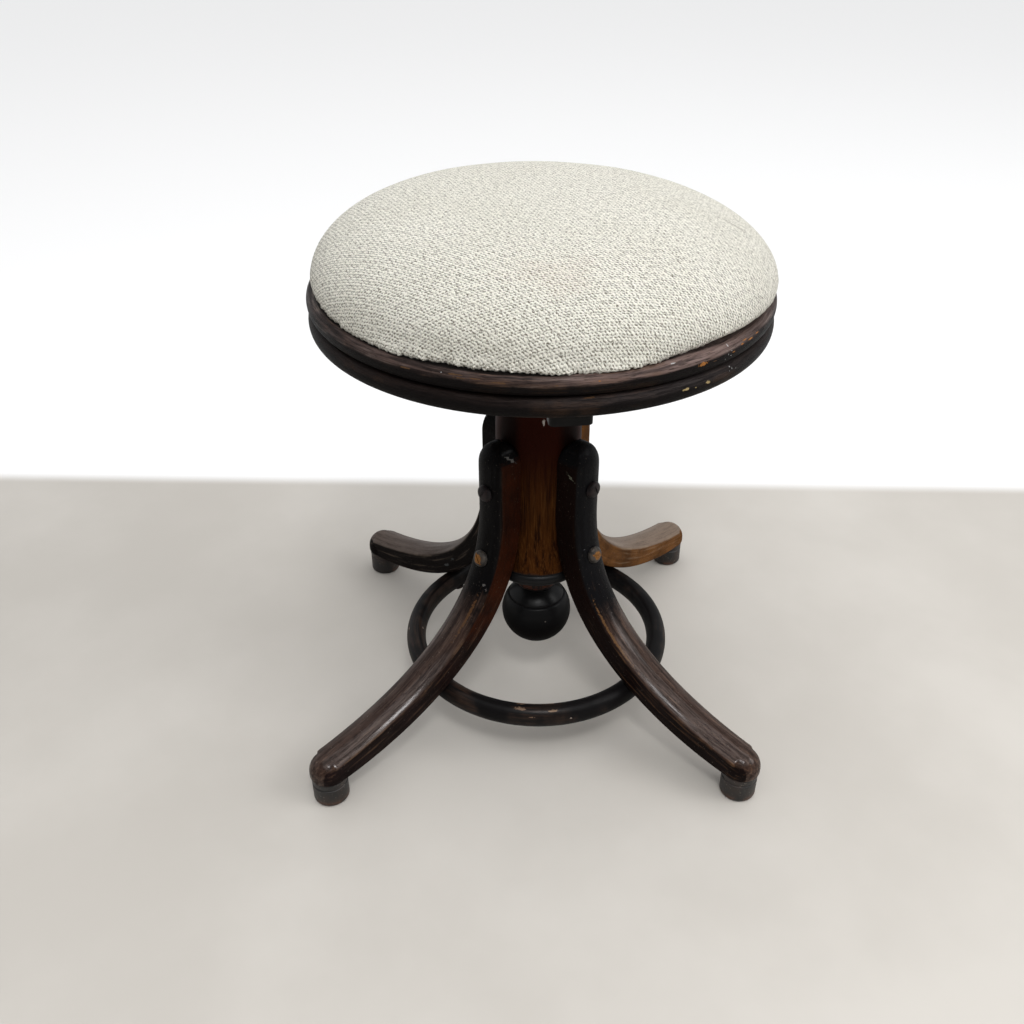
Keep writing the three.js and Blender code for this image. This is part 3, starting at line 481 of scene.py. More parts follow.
def leg_lacquer(name, above, below, left_face, right_face, low_face, worn, changeover, sheen, grime,
                chips=()):
    """A leg is lacquered black above, which is partly painted shade under the seat, and worn to streaky
    brown lower down, from about the length `changeover`. Its two side faces have colours of their own,
    and its crisp edges are rubbed. Each of the chips is a set of spots, the slant of their long axis,
    and the side that they are on."""
    finish = Finish(name)
    lay, flank, rub = finish.kept("lay"), finish.kept("flank", "Fac"), finish.kept("rub", "Fac")
    coat = finish.grain(finish.place(), 34.0, 5.0, 0.6)
    streaks = finish.grain(lay.stretched((18.0, 330.0, 330.0)), 1.0, 6.0, 0.62)
    pores = finish.grain(lay.stretched((150.0, 1900.0, 1900.0)), 1.0, 3.0, 0.65)
    down = lay.part("X") + (coat - 0.5) * 0.16 + (streaks - 0.5) * 0.08
    down = down.band(changeover - 0.03, changeover + 0.03)
    under_cap = (lay.part("X") + (coat - 0.5) * 0.02).band(0.012, 0.018)
    faces = finish.mix(flank.band(-0.1, 0.1), right_face, left_face)
    further = (lay.part("X") + (coat - 0.5) * 0.1).band(changeover - 0.01, changeover + 0.06)
    faces = finish.mix(further, faces, low_face)
    faces = finish.mix(coat.band(0.35, 0.7) * 0.55, faces, (0.003, 0.0015, 0.0012))
    sides = finish.mix(under_cap, above, faces)
    # Black above, partly painted shade under the seat; streaky brown below.
    colour = finish.mix(flank.sum("ABSOLUTE"), finish.mix(down, above, below), sides)
    lines = (1.0 - streaks.band(0.36, 0.54)) * (0.25 + down * 0.35) * grime
    colour = finish.mix(lines, colour, (0.004, 0.0025, 0.002))
    colour = finish.mix(streaks.band(0.53, 0.66) * down * 0.32, colour, worn)
    open_pores = pores.band(0.55, 0.64) * (0.2 + down * 0.6) * grime
    colour = finish.mix(open_pores, colour, (0.003, 0.0018, 0.0015))
    edge = rub * coat.band(0.44, 0.6) * streaks.band(0.42, 0.56) * (0.12 + down * 0.5)
    colour = finish.mix(edge, colour, worn)
    dust = finish.grain(finish.place(), 620.0, 2.0).band(0.69, 0.73)
    colour = finish.mix(dust * 0.3, colour, (0.2, 0.17, 0.14))
    for spots, slant, side in chips:
        across = lay.part("Z") if side else lay.part("Y")
        marked = finish.marked(colour, lay.part("X") + across * slant, across, spots)
        mask = (lay.part("Y") * side).band(0.009, 0.0105) if side else lay.part("Z").band(0.005, 0.006)
        colour = finish.mix(mask, colour, marked)
    ripple = finish.relief(coat, 0.0012, 0.35)
    gloss = (0.4 + streaks.band(0.4, 0.62) * 0.8) * (1.0 - pores.band(0.52, 0.64) * 0.65)
    glossy = (1.0 - flank.sum("ABSOLUTE") * 0.85) * (0.12 + down * 0.88) * gloss * sheen
    return finish.wear(Base_Color=colour, Roughness=0.45 + down * 0.1 + pores * 0.15, Coat_Weight=glossy,
                       Specular_IOR_Level=0.03, Coat_Roughness=0.17,
                       Normal=finish.relief(streaks * 0.6 - pores.band(0.5, 0.7) * 0.7, 0.0003, 0.8, ripple))


front_chips = [
    ([(11.0, -2.0, 1.7, 6.0, (0.1, 0.098, 0.094))], 0.715, 1),
    ([(137.0, 9.5, 2.2, 1.6, (0.085, 0.08, 0.078)), (141.0, 12.5, 1.3, 1.2, (0.11, 0.1, 0.1)),
      (172.0, 8.0, 30.0, 1.6, (0.07, 0.034, 0.015))], 0.0, 0),
]
right_chips = [
    ([(26.3, 2.0, 1.5, 5.6, (0.12, 0.125, 0.095))], -0.6, -1),
    ([(100.0, -9.0, 0.9, 0.9, (0.16, 0.16, 0.18)), (190.0, -12.6, 48.0, 1.3, (0.11, 0.056, 0.024))], 0.0, 0),
]
left_chips = [
    ([(219.0, -5.0, 5.0, 2.0, (0.05, 0.052, 0.055)), (205.0, -1.0, 3.0, 1.5, (0.04, 0.042, 0.044))], 0.0, 1),
]
leg_finishes = {
    "front": leg_lacquer(
        "leg_lacquer_front", (0.0022, 0.002, 0.0024), (0.038, 0.0205, 0.0145), (0.03, 0.0068, 0.002),
        (0.008, 0.0045, 0.004), (0.011, 0.0055, 0.0052), (0.11, 0.062, 0.035), 0.165, 0.55, 1.0,
        front_chips),
    "right": leg_lacquer(
        "leg_lacquer_right", (0.0045, 0.0045, 0.0054), (0.042, 0.0225, 0.0155), (0.008, 0.004, 0.0035),
        (0.0075, 0.0026, 0.0018), (0.0085, 0.0042, 0.004), (0.14, 0.07, 0.032), 0.175, 0.55, 1.0,
        right_chips),
    # The back leg's paler tones are partly painted sheen on its top.
    "back": leg_lacquer(
        "leg_lacquer_back", (0.02, 0.014, 0.01), (0.17, 0.125, 0.095), (0.16, 0.06, 0.014),
        (0.17, 0.066, 0.015), (0.15, 0.062, 0.018), (0.25, 0.18, 0.12), 0.1, 0.2, 0.35),
    "left": leg_lacquer(
        "leg_lacquer_left", (0.0035, 0.003, 0.003), (0.085, 0.064, 0.054), (0.003, 0.0022, 0.002),
        (0.004, 0.003, 0.003), (0.0045, 0.003, 0.0028), (0.12, 0.09, 0.07), 0.13, 0.22, 0.5, left_chips),
}
for leg_name, azimuth, reach in zip(leg_names, leg_azimuths, leg_reaches):
    leg = leg_piece("bent_leg_" + leg_name, reach, azimuth, leg_finishes[leg_name])
    fitted(leg, "base", "pale_leg_wood" if leg_name == "back" else "leg_wood", "leg_" + leg_name)

# Feet: a short turned foot pegged up into each nose, with a line turned near its top, a rounded
# lower edge and a flat underside. They are black, and reddish where the floor has rubbed them.
def foot_finish():
    finish = Finish("foot_lacquer")
    place = finish.place()
    coat = finish.grain(place, 70.0, 5.0)
    height = place.part("Z") + (coat - 0.5) * 0.004
    rubbed = (1.0 - height.band(0.003, 0.008)) * coat.band(0.4, 0.6)
    colour = finish.mix(coat.band(0.42, 0.64), (0.005, 0.0038, 0.0035), (0.02, 0.0105, 0.007))
    colour = finish.mix(rubbed * 0.7, colour, (0.075, 0.028, 0.014))
    grit = finish.grain(place, 700.0, 2.0).band(0.66, 0.7)
    colour = finish.mix(grit * 0.4, colour, (0.3, 0.25, 0.2))
    fine = finish.grain(place.stretched((1.0, 1.0, 0.25)), 900.0, 3.0)
    return finish.wear(Base_Color=colour, Roughness=0.42 + coat * 0.2,
                       Normal=finish.relief(coat + fine * 0.4, 0.0003, 0.7))


foot_wood = foot_finish()
foot_radius, foot_edge, line_radius, foot_head, foot_top = 15.2, 3, 14.35, 15.3, 25.4
peg_radius, peg_top = 6, 34.4
foot_profile = [(0, 0), (11.8, 0)] + arc((foot_radius - foot_edge, foot_edge), foot_edge, -80, 0, 7)
foot_profile += [(foot_radius, 8), (foot_radius, 17.6)]
foot_profile += eased([(15.15, 18.2), (14.5, 18.9), (line_radius, 19.4), (14.5, 19.9), (15.15, 20.6)], 3)
foot_profile += [(foot_head, 22), (foot_head, 25.0), (15.0, foot_top), (peg_radius, foot_top)]
foot_profile += [(peg_radius, peg_top), (0, peg_top)]
for leg_name, azimuth, reach in zip(leg_names, leg_azimuths, leg_reaches):
    foot = turned("turned_foot_" + leg_name, foot_profile, foot_wood, sides=64)
    angle = math.radians(azimuth)
    foot.data.transform(Matrix.Translation((reach * mm * math.cos(angle), reach * mm * math.sin(angle), 0)))
    fitted(foot, "base", "black_wood", "foot_" + leg_name)

# Hoop: a rod of beech bent into a ring, a tall oval in section, that ties the four legs together at
# the ball's height. Black lacquer, with small tan chips on its outer face.
def ring_run(finish, along, across):
    """Noise coordinates for grain that runs round a ring."""
    place = finish.place()
    return place.stretched((along, along, across)), place.stretched((1, 1, 0)).length() * across


def hoop_finish():
    finish = Finish("hoop_lacquer")
    place = finish.place()
    vector, w = ring_run(finish, 22.0, 420.0)
    streaks = finish.grain(vector, 1.0, 6.0, 0.62, w)
    vector, w = ring_run(finish, 120.0, 1800.0)
    pores = finish.grain(vector, 1.0, 3.0, 0.6, w)
    coat = finish.grain(place, 22.0, 5.0)
    worn = coat.band(0.46, 0.62) * streaks.band(0.38, 0.6)
    colour = finish.mix(worn, (0.0045, 0.004, 0.0042), (0.026, 0.015, 0.0105))
    colour = finish.mix(pores.band(0.55, 0.66) * 0.5, colour, (0.003, 0.002, 0.002))
    colour = finish.marked(colour, place.azimuth() * 0.12, place.part("Z"), [
        (math.radians(angle) * 120, level, long, tall, tint) for angle, level, long, tall, tint in (
            (-40.2, 58.0, 5.0, 0.8, (0.17, 0.11, 0.07)), (-53.9, 58.7, 6.0, 0.7, (0.14, 0.09, 0.06)),
            (-49.0, 54.0, 3.0, 0.6, (0.12, 0.075, 0.05)), (-33.0, 51.0, 1.2, 0.8, (0.22, 0.18, 0.15)),
            (-127.0, 50.0, 1.6, 1.0, (0.2, 0.17, 0.15)), (-133.0, 56.0, 2.2, 0.9, (0.16, 0.12, 0.1)),
        )])
    return finish.wear(Base_Color=colour, Roughness=0.45 + coat * 0.15, Specular_IOR_Level=0.04,
                       Coat_Weight=0.06 + coat.band(0.4, 0.6) * 0.12, Coat_Roughness=0.26,
                       Normal=finish.relief(streaks * 0.6 - pores.band(0.5, 0.7) * 0.4, 0.0002, 0.7))


hoop_radius, hoop_level, rod_half_width, rod_half_height = 115.4, 49, 9, 10.5
hoop_profile = [(hoop_radius + rod_half_width * math.cos(a), hoop_level + rod_half_height * math.sin(a))
                for a in np.linspace(0, math.tau, 28, endpoint=False)]
hoop = turned("bent_hoop", hoop_profile, hoop_finish(), sides=192, ring=True, wander=0.006)
fitted(hoop, "base", "black_wood", "hoop")

# Screws: old round-headed wood screws with a slot. Two hold each leg to the column, one holds the
# hoop to each leg from the inside, and four hold the spindle's flange to the battens.
screws = Former("round_headed_screws", dict.fromkeys(
    ("Head radius", "Head height", "Slot width", "Slot depth"), "NodeSocketFloat"))
globe = screws.node("GeometryNodeMeshUVSphere", {}, {"Segments": 40, "Rings": 24, "Radius": 1.0})
spot = screws.node("GeometryNodeInputPosition", {}, {})
lift = spot.part("Z").sum("MAXIMUM", 0.0) ** 0.55
wide, high = screws.given("Head radius"), screws.given("Head height")
marked_globe = screws.node("GeometryNodeStoreNamedAttribute", {"data_type": "FLOAT", "domain": "POINT"}, {
    "Geometry": globe, "Name": "off_axis", "Value": spot.stretched((1, 1, 0)).length(),
})
head = screws.node("GeometryNodeSetPosition", {}, {
    "Geometry": marked_globe,
    "Position": screws.vector(spot.part("X") * wide, spot.part("Y") * wide, lift * high),
})
cutter = screws.node("GeometryNodeMeshCube", {}, {
    "Size": screws.vector(wide * 3.0, screws.given("Slot width"), screws.given("Slot depth") * 2.0),
})
cutter = screws.node("GeometryNodeTransform", {}, {"Geometry": cutter, "Translation": screws.vector(z=high)})
slotted = screws.node("GeometryNodeMeshBoolean", {"operation": "DIFFERENCE"},
                      {"Mesh 1": head, "Mesh 2": cutter})
heading = screws.node("GeometryNodeInputNamedAttribute", {"data_type": "FLOAT_VECTOR"}, {"Name": "heading"})
spin = screws.node("GeometryNodeInputNamedAttribute", {"data_type": "FLOAT"}, {"Name": "spin"})
aim = screws.node("FunctionNodeAlignRotationToVector", {"axis": "Z"}, {"Vector": heading})
twist = screws.node("FunctionNodeAxisAngleToRotation", {}, {"Axis": (0, 0, 1), "Angle": spin})
stance = screws.node("FunctionNodeRotateRotation", {"rotation_space": "LOCAL"},
                     {"Rotation": aim, "Rotate By": twist})
placed = screws.node("GeometryNodeInstanceOnPoints", {}, {
    "Points": screws.given("Geometry"), "Instance": slotted, "Rotation": stance,
})
screws.close(placed)


def rusty_screw_finish():
    """Steel heads gone mauve-black, but for the legs' lower ones, which are brass-orange with rust
    inside a grey rim."""
    finish = Finish("rusty_screw")
    place = finish.place()
    level = place.part("Z")
    patches = finish.grain(place, 240.0, 5.0, 0.6)
    fine = finish.grain(place, 1500.0, 3.0, 0.65)
    centre = 1.0 - (finish.kept("off_axis", "Fac") + (patches - 0.5) * 0.7).band(0.44, 0.62)
    brassy = level.band(0.155, 0.16) * (1.0 - level.band(0.19, 0.195))
    dark = finish.mix(patches.band(0.42, 0.64), (0.007, 0.0045, 0.005), (0.017, 0.01, 0.01))
    orange = finish.mix(fine.band(0.42, 0.6), (0.12, 0.045, 0.009), (0.28, 0.12, 0.024))
    grey = finish.mix(patches.band(0.4, 0.6), (0.024, 0.021, 0.019), (0.06, 0.05, 0.042))
    colour = finish.mix(brassy, dark, finish.mix(centre, grey, orange))
    return finish.wear(Base_Color=colour, Metallic=0.15 + brassy * 0.1, Roughness=0.46 + fine * 0.2,
                       Specular_IOR_Level=0.25,
                       Normal=finish.relief(fine * 0.5 + patches, 0.00012, 0.6))


slot_width_share, slot_depth_share = 0.17, 0.2


def set_screws(name, body, nodes, places, head_radius, head_height, spins):
    """One piece for all the screws of a kind, each with its own turn of the slot."""
    mesh = bpy.data.meshes.new(name)
    mesh.from_pydata([tuple(seat) for seat, _ in places], [], [])
    mesh.attributes.new("heading", "FLOAT_VECTOR", "POINT").data.foreach_set(
        "vector", [c for _, heading in places for c in heading])
    mesh.attributes.new("spin", "FLOAT", "POINT").data.foreach_set("value", spins)
    piece = screws.form(name, mesh, {
        "Head radius": head_radius * mm, "Head height": head_height * mm,
        "Slot width": head_radius * slot_width_share * mm,
        "Slot depth": head_height * slot_depth_share * mm, "Finish": screw_iron,
    })
    piece.data.shade_smooth()
    piece.data.set_sharp_from_angle(angle=math.radians(40))
    fitted(piece, body, "rusty_iron", *nodes)


screw_iron = rusty_screw_finish()


def seat_of(node, axis):
    """Where a screw's head sits, from its node's own mesh: the centre of its widest ring, and the way
    the head faces."""
    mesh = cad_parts[node].data
    points = np.array([v.co[:] for v in mesh.vertices])
    middle = points.mean(axis=0)
    spread = np.linalg.svd(points - middle, full_matrices=False)[2][0]
    heading = Vector(spread) * (1 if np.dot(spread, axis) > 0 else -1)
    level = (points - middle) @ np.array(heading)
    off = np.linalg.norm((points - middle) - np.outer(level, heading), axis=1)
    seat = middle + np.array(heading) * level[off > off.max() - 0.00005].min()
    return Vector(seat), heading


leg_screw_places, leg_screw_nodes, hoop_screw_places, hoop_screw_nodes = [], [], [], []
for leg_name, azimuth in zip(leg_names, leg_azimuths):
    outwards = Vector((math.cos(math.radians(azimuth)), math.sin(math.radians(azimuth)), 0.1))
    for level in ("upper", "lower"):
        leg_screw_nodes.append(f"leg_screw_{level}_{leg_name}")
        leg_screw_places.append(seat_of(leg_screw_nodes[-1], outwards))
    hoop_screw_nodes.append("hoop_screw_" + leg_name)
    hoop_screw_places.append(seat_of(hoop_screw_nodes[-1], -outwards))
leg_screw_head, hoop_screw_head = (7.4, 5.1), (4.4, 2.4)
set_screws("leg_screws", "base", leg_screw_nodes, leg_screw_places, *leg_screw_head,
           [0.9, 2.3, 0.4, 1.2, 0.2, 1.9, 1.4, 0.7])
set_screws("hoop_screws", "base", hoop_screw_nodes, hoop_screw_places, *hoop_screw_head,
           [0.5, 1.6, 2.6, 0.1])

# Nut and washer: an iron bush with a round flange let into the drum's top and held by three sunk
# screws, and on it the leather washer on which the seat's hub lands.
def oiled_iron():
    finish = Finish("oiled_iron")
    place = finish.place()
    cast = finish.grain(place, 900.0, 5.0, 0.65)
    film = finish.grain(place, 55.0, 4.0)
    colour = finish.mix(film.band(0.42, 0.62), (0.028, 0.025, 0.024), (0.06, 0.045, 0.036))
    colour = finish.mix((film * 0.6 + cast * 0.4).band(0.56, 0.64), colour, (0.12, 0.055, 0.028))
    return finish.wear(Base_Color=colour, Metallic=0.8 - film.band(0.5, 0.7) * 0.4,
                       Roughness=0.38 + film * 0.25, Normal=finish.relief(cast + film, 0.00025, 0.6))


dark_iron = oiled_iron()
nut_bore, nut_foot, bush_radius, nut_plate, plate_foot, plate_top = 11.9, 272, 18, 28.4, 312.2, 315.7
nut_profile = [(nut_bore, nut_foot), (bush_radius, nut_foot), (bush_radius, plate_foot)]
nut_profile += [(nut_plate, plate_foot)] + arc((nut_plate, 314.6), 0.9, -60, 60, 5)
nut_profile += [(28.2, plate_top), (12.6, plate_top), (nut_bore, 315.0)]
nut = turned("spindle_bush", nut_profile, dark_iron, sides=96, ring=True)
fitted(nut, "base", "dark_iron", "spindle_nut")


def dressed(node, finish):
    """A CAD node that stays gets its finish."""
    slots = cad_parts[node].data.materials
    slots.clear()
    slots.append(finish)


for k in range(3):
    dressed(f"nut_screw_{k + 1}", screw_iron)


def washer_leather():
    finish = Finish("oiled_leather")
    place = finish.place()
    pores = finish.node("ShaderNodeTexVoronoi", {"feature": "DISTANCE_TO_EDGE"},
                        {"Vector": place, "Scale": 900.0})
    stain = finish.grain(place, 90.0, 4.0)
    colour = finish.mix(stain.band(0.4, 0.65), (0.035, 0.018, 0.01), (0.1, 0.05, 0.026))
    return finish.wear(Base_Color=colour, Roughness=0.55 + stain * 0.3,
                       Normal=finish.relief(pores.band(0.0, 0.25) + stain * 0.5, 0.0002, 0.6))


washer_bore, washer_round, washer_foot, washer_top = 12.2, 1.4, 316.1, 318.9
washer_profile = [(washer_bore, washer_foot), (23.4, washer_foot)]
washer_profile += arc((23.0, 317.5), washer_round, -60, 60, 6)
washer_profile += [(22.8, washer_top), (12.6, washer_top), (washer_bore, 318.4)]
washer = turned("leather_washer", washer_profile, washer_leather(), sides=96, ring=True)
fitted(washer, "washer", "leather", "stop_washer")

# Spindle: a forged iron screw, 22 mm across, cut with a coarse trapezoid thread of 8 mm pitch. Its
# plain shank is pinned in the flange's hub.
threads = Former("coarse_thread", {
    **dict.fromkeys(("Radius", "Depth", "Pitch", "Low", "High"), "NodeSocketFloat"), "Turns": "NodeSocketInt",
})
steps_per_turn = 40
strip = threads.node("GeometryNodeMeshGrid", {}, {
    "Size X": 1.0, "Size Y": 1.0, "Vertices X": threads.given("Turns") * steps_per_turn + 1, "Vertices Y": 7,
})
spot = threads.node("GeometryNodeInputPosition", {}, {})
winds = (spot.part("X") + 0.5) * threads.given("Turns")
rank = (spot.part("Y") + 0.5).sum("MULTIPLY", 6.0)
share = threads.node("ShaderNodeFloatCurve", {}, {"Value": rank / 6.0})
curve = share.socket.node.mapping
for place, height in ((1 / 6, 0.0), (2 / 6, 0.92), (3 / 6, 1.0), (4 / 6, 0.92), (5 / 6, 0.0)):
    curve.curves[0].points.new(place, height)
curve.curves[0].points[-1].location = (1.0, 0.0)
for dot in curve.curves[0].points:
    dot.handle_type = "VECTOR"
curve.update()
level = (winds + rank / 6.0 - 1.0) * threads.given("Pitch") + threads.given("Low")
low, high = threads.given("Low"), threads.given("High")
inside = level.sum("GREATER_THAN", low) * level.sum("LESS_THAN", high)
wide = (threads.given("Radius") - threads.given("Depth") * (1.0 - share)) * inside
angle = winds * math.tau
helix = threads.vector(wide * angle.sum("COSINE"), wide * angle.sum("SINE"),
                       level.sum("MAXIMUM", low).sum("MINIMUM", high))
wound = threads.node("GeometryNodeSetPosition", {}, {"Geometry": strip, "Position": helix})
threads.close(threads.node("GeometryNodeMergeByDistance", {}, {"Geometry": wound, "Distance": 0.00002}))


def spindle_steel():
    """Bright where the nut wipes the crests, dark grease in the roots."""
    finish = Finish("greased_steel")
    place = finish.place()
    radius = place.stretched((1, 1, 0)).length()
    grease = finish.grain(place, 240.0, 4.0)
    crest = (radius + (grease - 0.5) * 0.001).band(0.0096, 0.0108)
    colour = finish.mix(crest, (0.02, 0.016, 0.013), (0.19, 0.17, 0.155))
    fine = finish.grain(place.stretched((1, 1, 5)), 800.0, 3.0)
    return finish.wear(Base_Color=colour, Metallic=0.55 + crest * 0.4,
                       Roughness=0.48 - crest * 0.16 + grease * 0.1,
                       Normal=finish.relief(fine + grease, 0.00015, 0.6))


spindle_radius, thread_depth, thread_pitch = 11, 2.4, 8
thread_foot, thread_top, thread_turns = 173.8, 339.4, 23
turned_at_rest = math.radians(49.9)
spindle = threads.form("screw_thread", bpy.data.meshes.new("spindle"), {
    "Radius": spindle_radius * mm, "Depth": thread_depth * mm, "Pitch": thread_pitch * mm,
    "Low": thread_foot * mm, "High": thread_top * mm, "Turns": thread_turns, "Finish": spindle_steel(),
})
face_outwards(spindle.data, 30)
spindle.data.transform(Matrix.Rotation(turned_at_rest, 4, "Z"))
fitted(spindle, "seat", "dark_iron", "screw_spindle")

# Flange: a round iron plate with a hub under it. The spindle's shank is pinned in the hub, and four
# round-headed screws hold the plate up against the crossing of the battens.
flange_bore, hub_radius, hub_foot, hub_fillet, plate_under, plate_edge = 8.7, 17, 339.9, 4.2, 358.4, 1.2
flange_profile = [(flange_bore, hub_foot), (16.2, hub_foot)] + arc((16.0, 340.9), 1.0, -70, 0, 4)
flange_profile += [(hub_radius, 346), (hub_radius, 354.1)]
flange_profile += arc((hub_radius + hub_fillet, 354.2), hub_fillet, 180, 90, 7)
flange_profile += [(30, plate_under), (43.8, plate_under)] + arc((43.8, 359.6), plate_edge, -80, 0, 4)
flange_profile += arc((43.8, 362.2), plate_edge, 0, 80, 4) + [(flange_bore, 363.4)]
flange = turned("iron_flange", flange_profile, dark_iron, sides=96, ring=True)
fitted(flange, "seat", "dark_iron", "spindle_flange")
dressed("flange_pin", dark_iron)
flange_screw_nodes = [f"flange_screw_{k + 1}" for k in range(4)]
flange_screw_places = [(Vector(sum(c) / 2 for c in zip(*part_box(node))), Vector((0, 0, -1)))
                       for node in flange_screw_nodes]
flange_screw_head = (4.5, 2.8)
set_screws("flange_screws", "seat", flange_screw_nodes, flange_screw_places, *flange_screw_head,
           [0.3, 1.1, 2.0, 2.7])

# Battens and board: two straight bars of beech, halved across each other under the rim and held to
# its lower ring by sunk screws, and the round plywood board inside the upper ring.
def batten_lacquer(name, heading):
    """Thin black lacquer, dull and a little chipped, over grain that runs along the batten."""
    finish = Finish(name)
    laid = finish.node("ShaderNodeVectorRotate", {"rotation_type": "Z_AXIS"},
                       {"Vector": finish.place(), "Angle": -heading})
    coat = finish.grain(finish.place(), 26.0, 5.0)
    streaks = finish.grain(laid.stretched((20.0, 360.0, 360.0)), 1.0, 6.0, 0.62)
    fibres = finish.grain(laid.stretched((70.0, 1500.0, 1500.0)), 1.0, 4.0, 0.6)
    chipped = (streaks + (coat - 0.5) * 0.35).band(0.7, 0.725)
    worn = coat.band(0.44, 0.6) * streaks.band(0.38, 0.6)
    colour = finish.mix(worn, (0.0022, 0.002, 0.002), (0.01, 0.0065, 0.005))
    colour = finish.mix(fibres.band(0.5, 0.66) * 0.5, colour, (0.001, 0.001, 0.001))
    colour = finish.mix(chipped * 0.6, colour, (0.12, 0.08, 0.05))
    return finish.wear(Base_Color=colour, Roughness=0.42 + fibres * 0.2, Specular_IOR_Level=0.15,
                       Normal=finish.relief(streaks * 0.5 + fibres * 0.4, 0.00018, 0.7))


for node in ("long_batten", "cross_batten"):
    points = np.array([v.co[:2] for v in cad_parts[node].data.vertices])
    along = np.linalg.svd(points - points.mean(axis=0), full_matrices=False)[2][0]
    dressed(node, batten_lacquer(node + "_lacquer", math.atan2(along[1], along[0])))


def board_plywood():
    finish = Finish("raw_plywood")
    place = finish.place()
    plies = (place.part("Z") * 1200.0).sum("SINE").band(-0.2, 0.2)
    lines = finish.grain(place.stretched((30.0, 600.0, 600.0)), 1.0, 5.0)
    colour = finish.mix(lines.band(0.38, 0.64), (0.34, 0.22, 0.12), (0.5, 0.36, 0.21))
    colour = finish.mix(plies * 0.35, colour, (0.17, 0.1, 0.05))
    return finish.wear(Base_Color=colour, Roughness=0.62 + lines * 0.2,
                       Normal=finish.relief(lines, 0.0002, 0.6))


dressed("seat_board", board_plywood())
for k in range(4):
    dressed(f"rim_screw_{k + 1}", screw_iron)
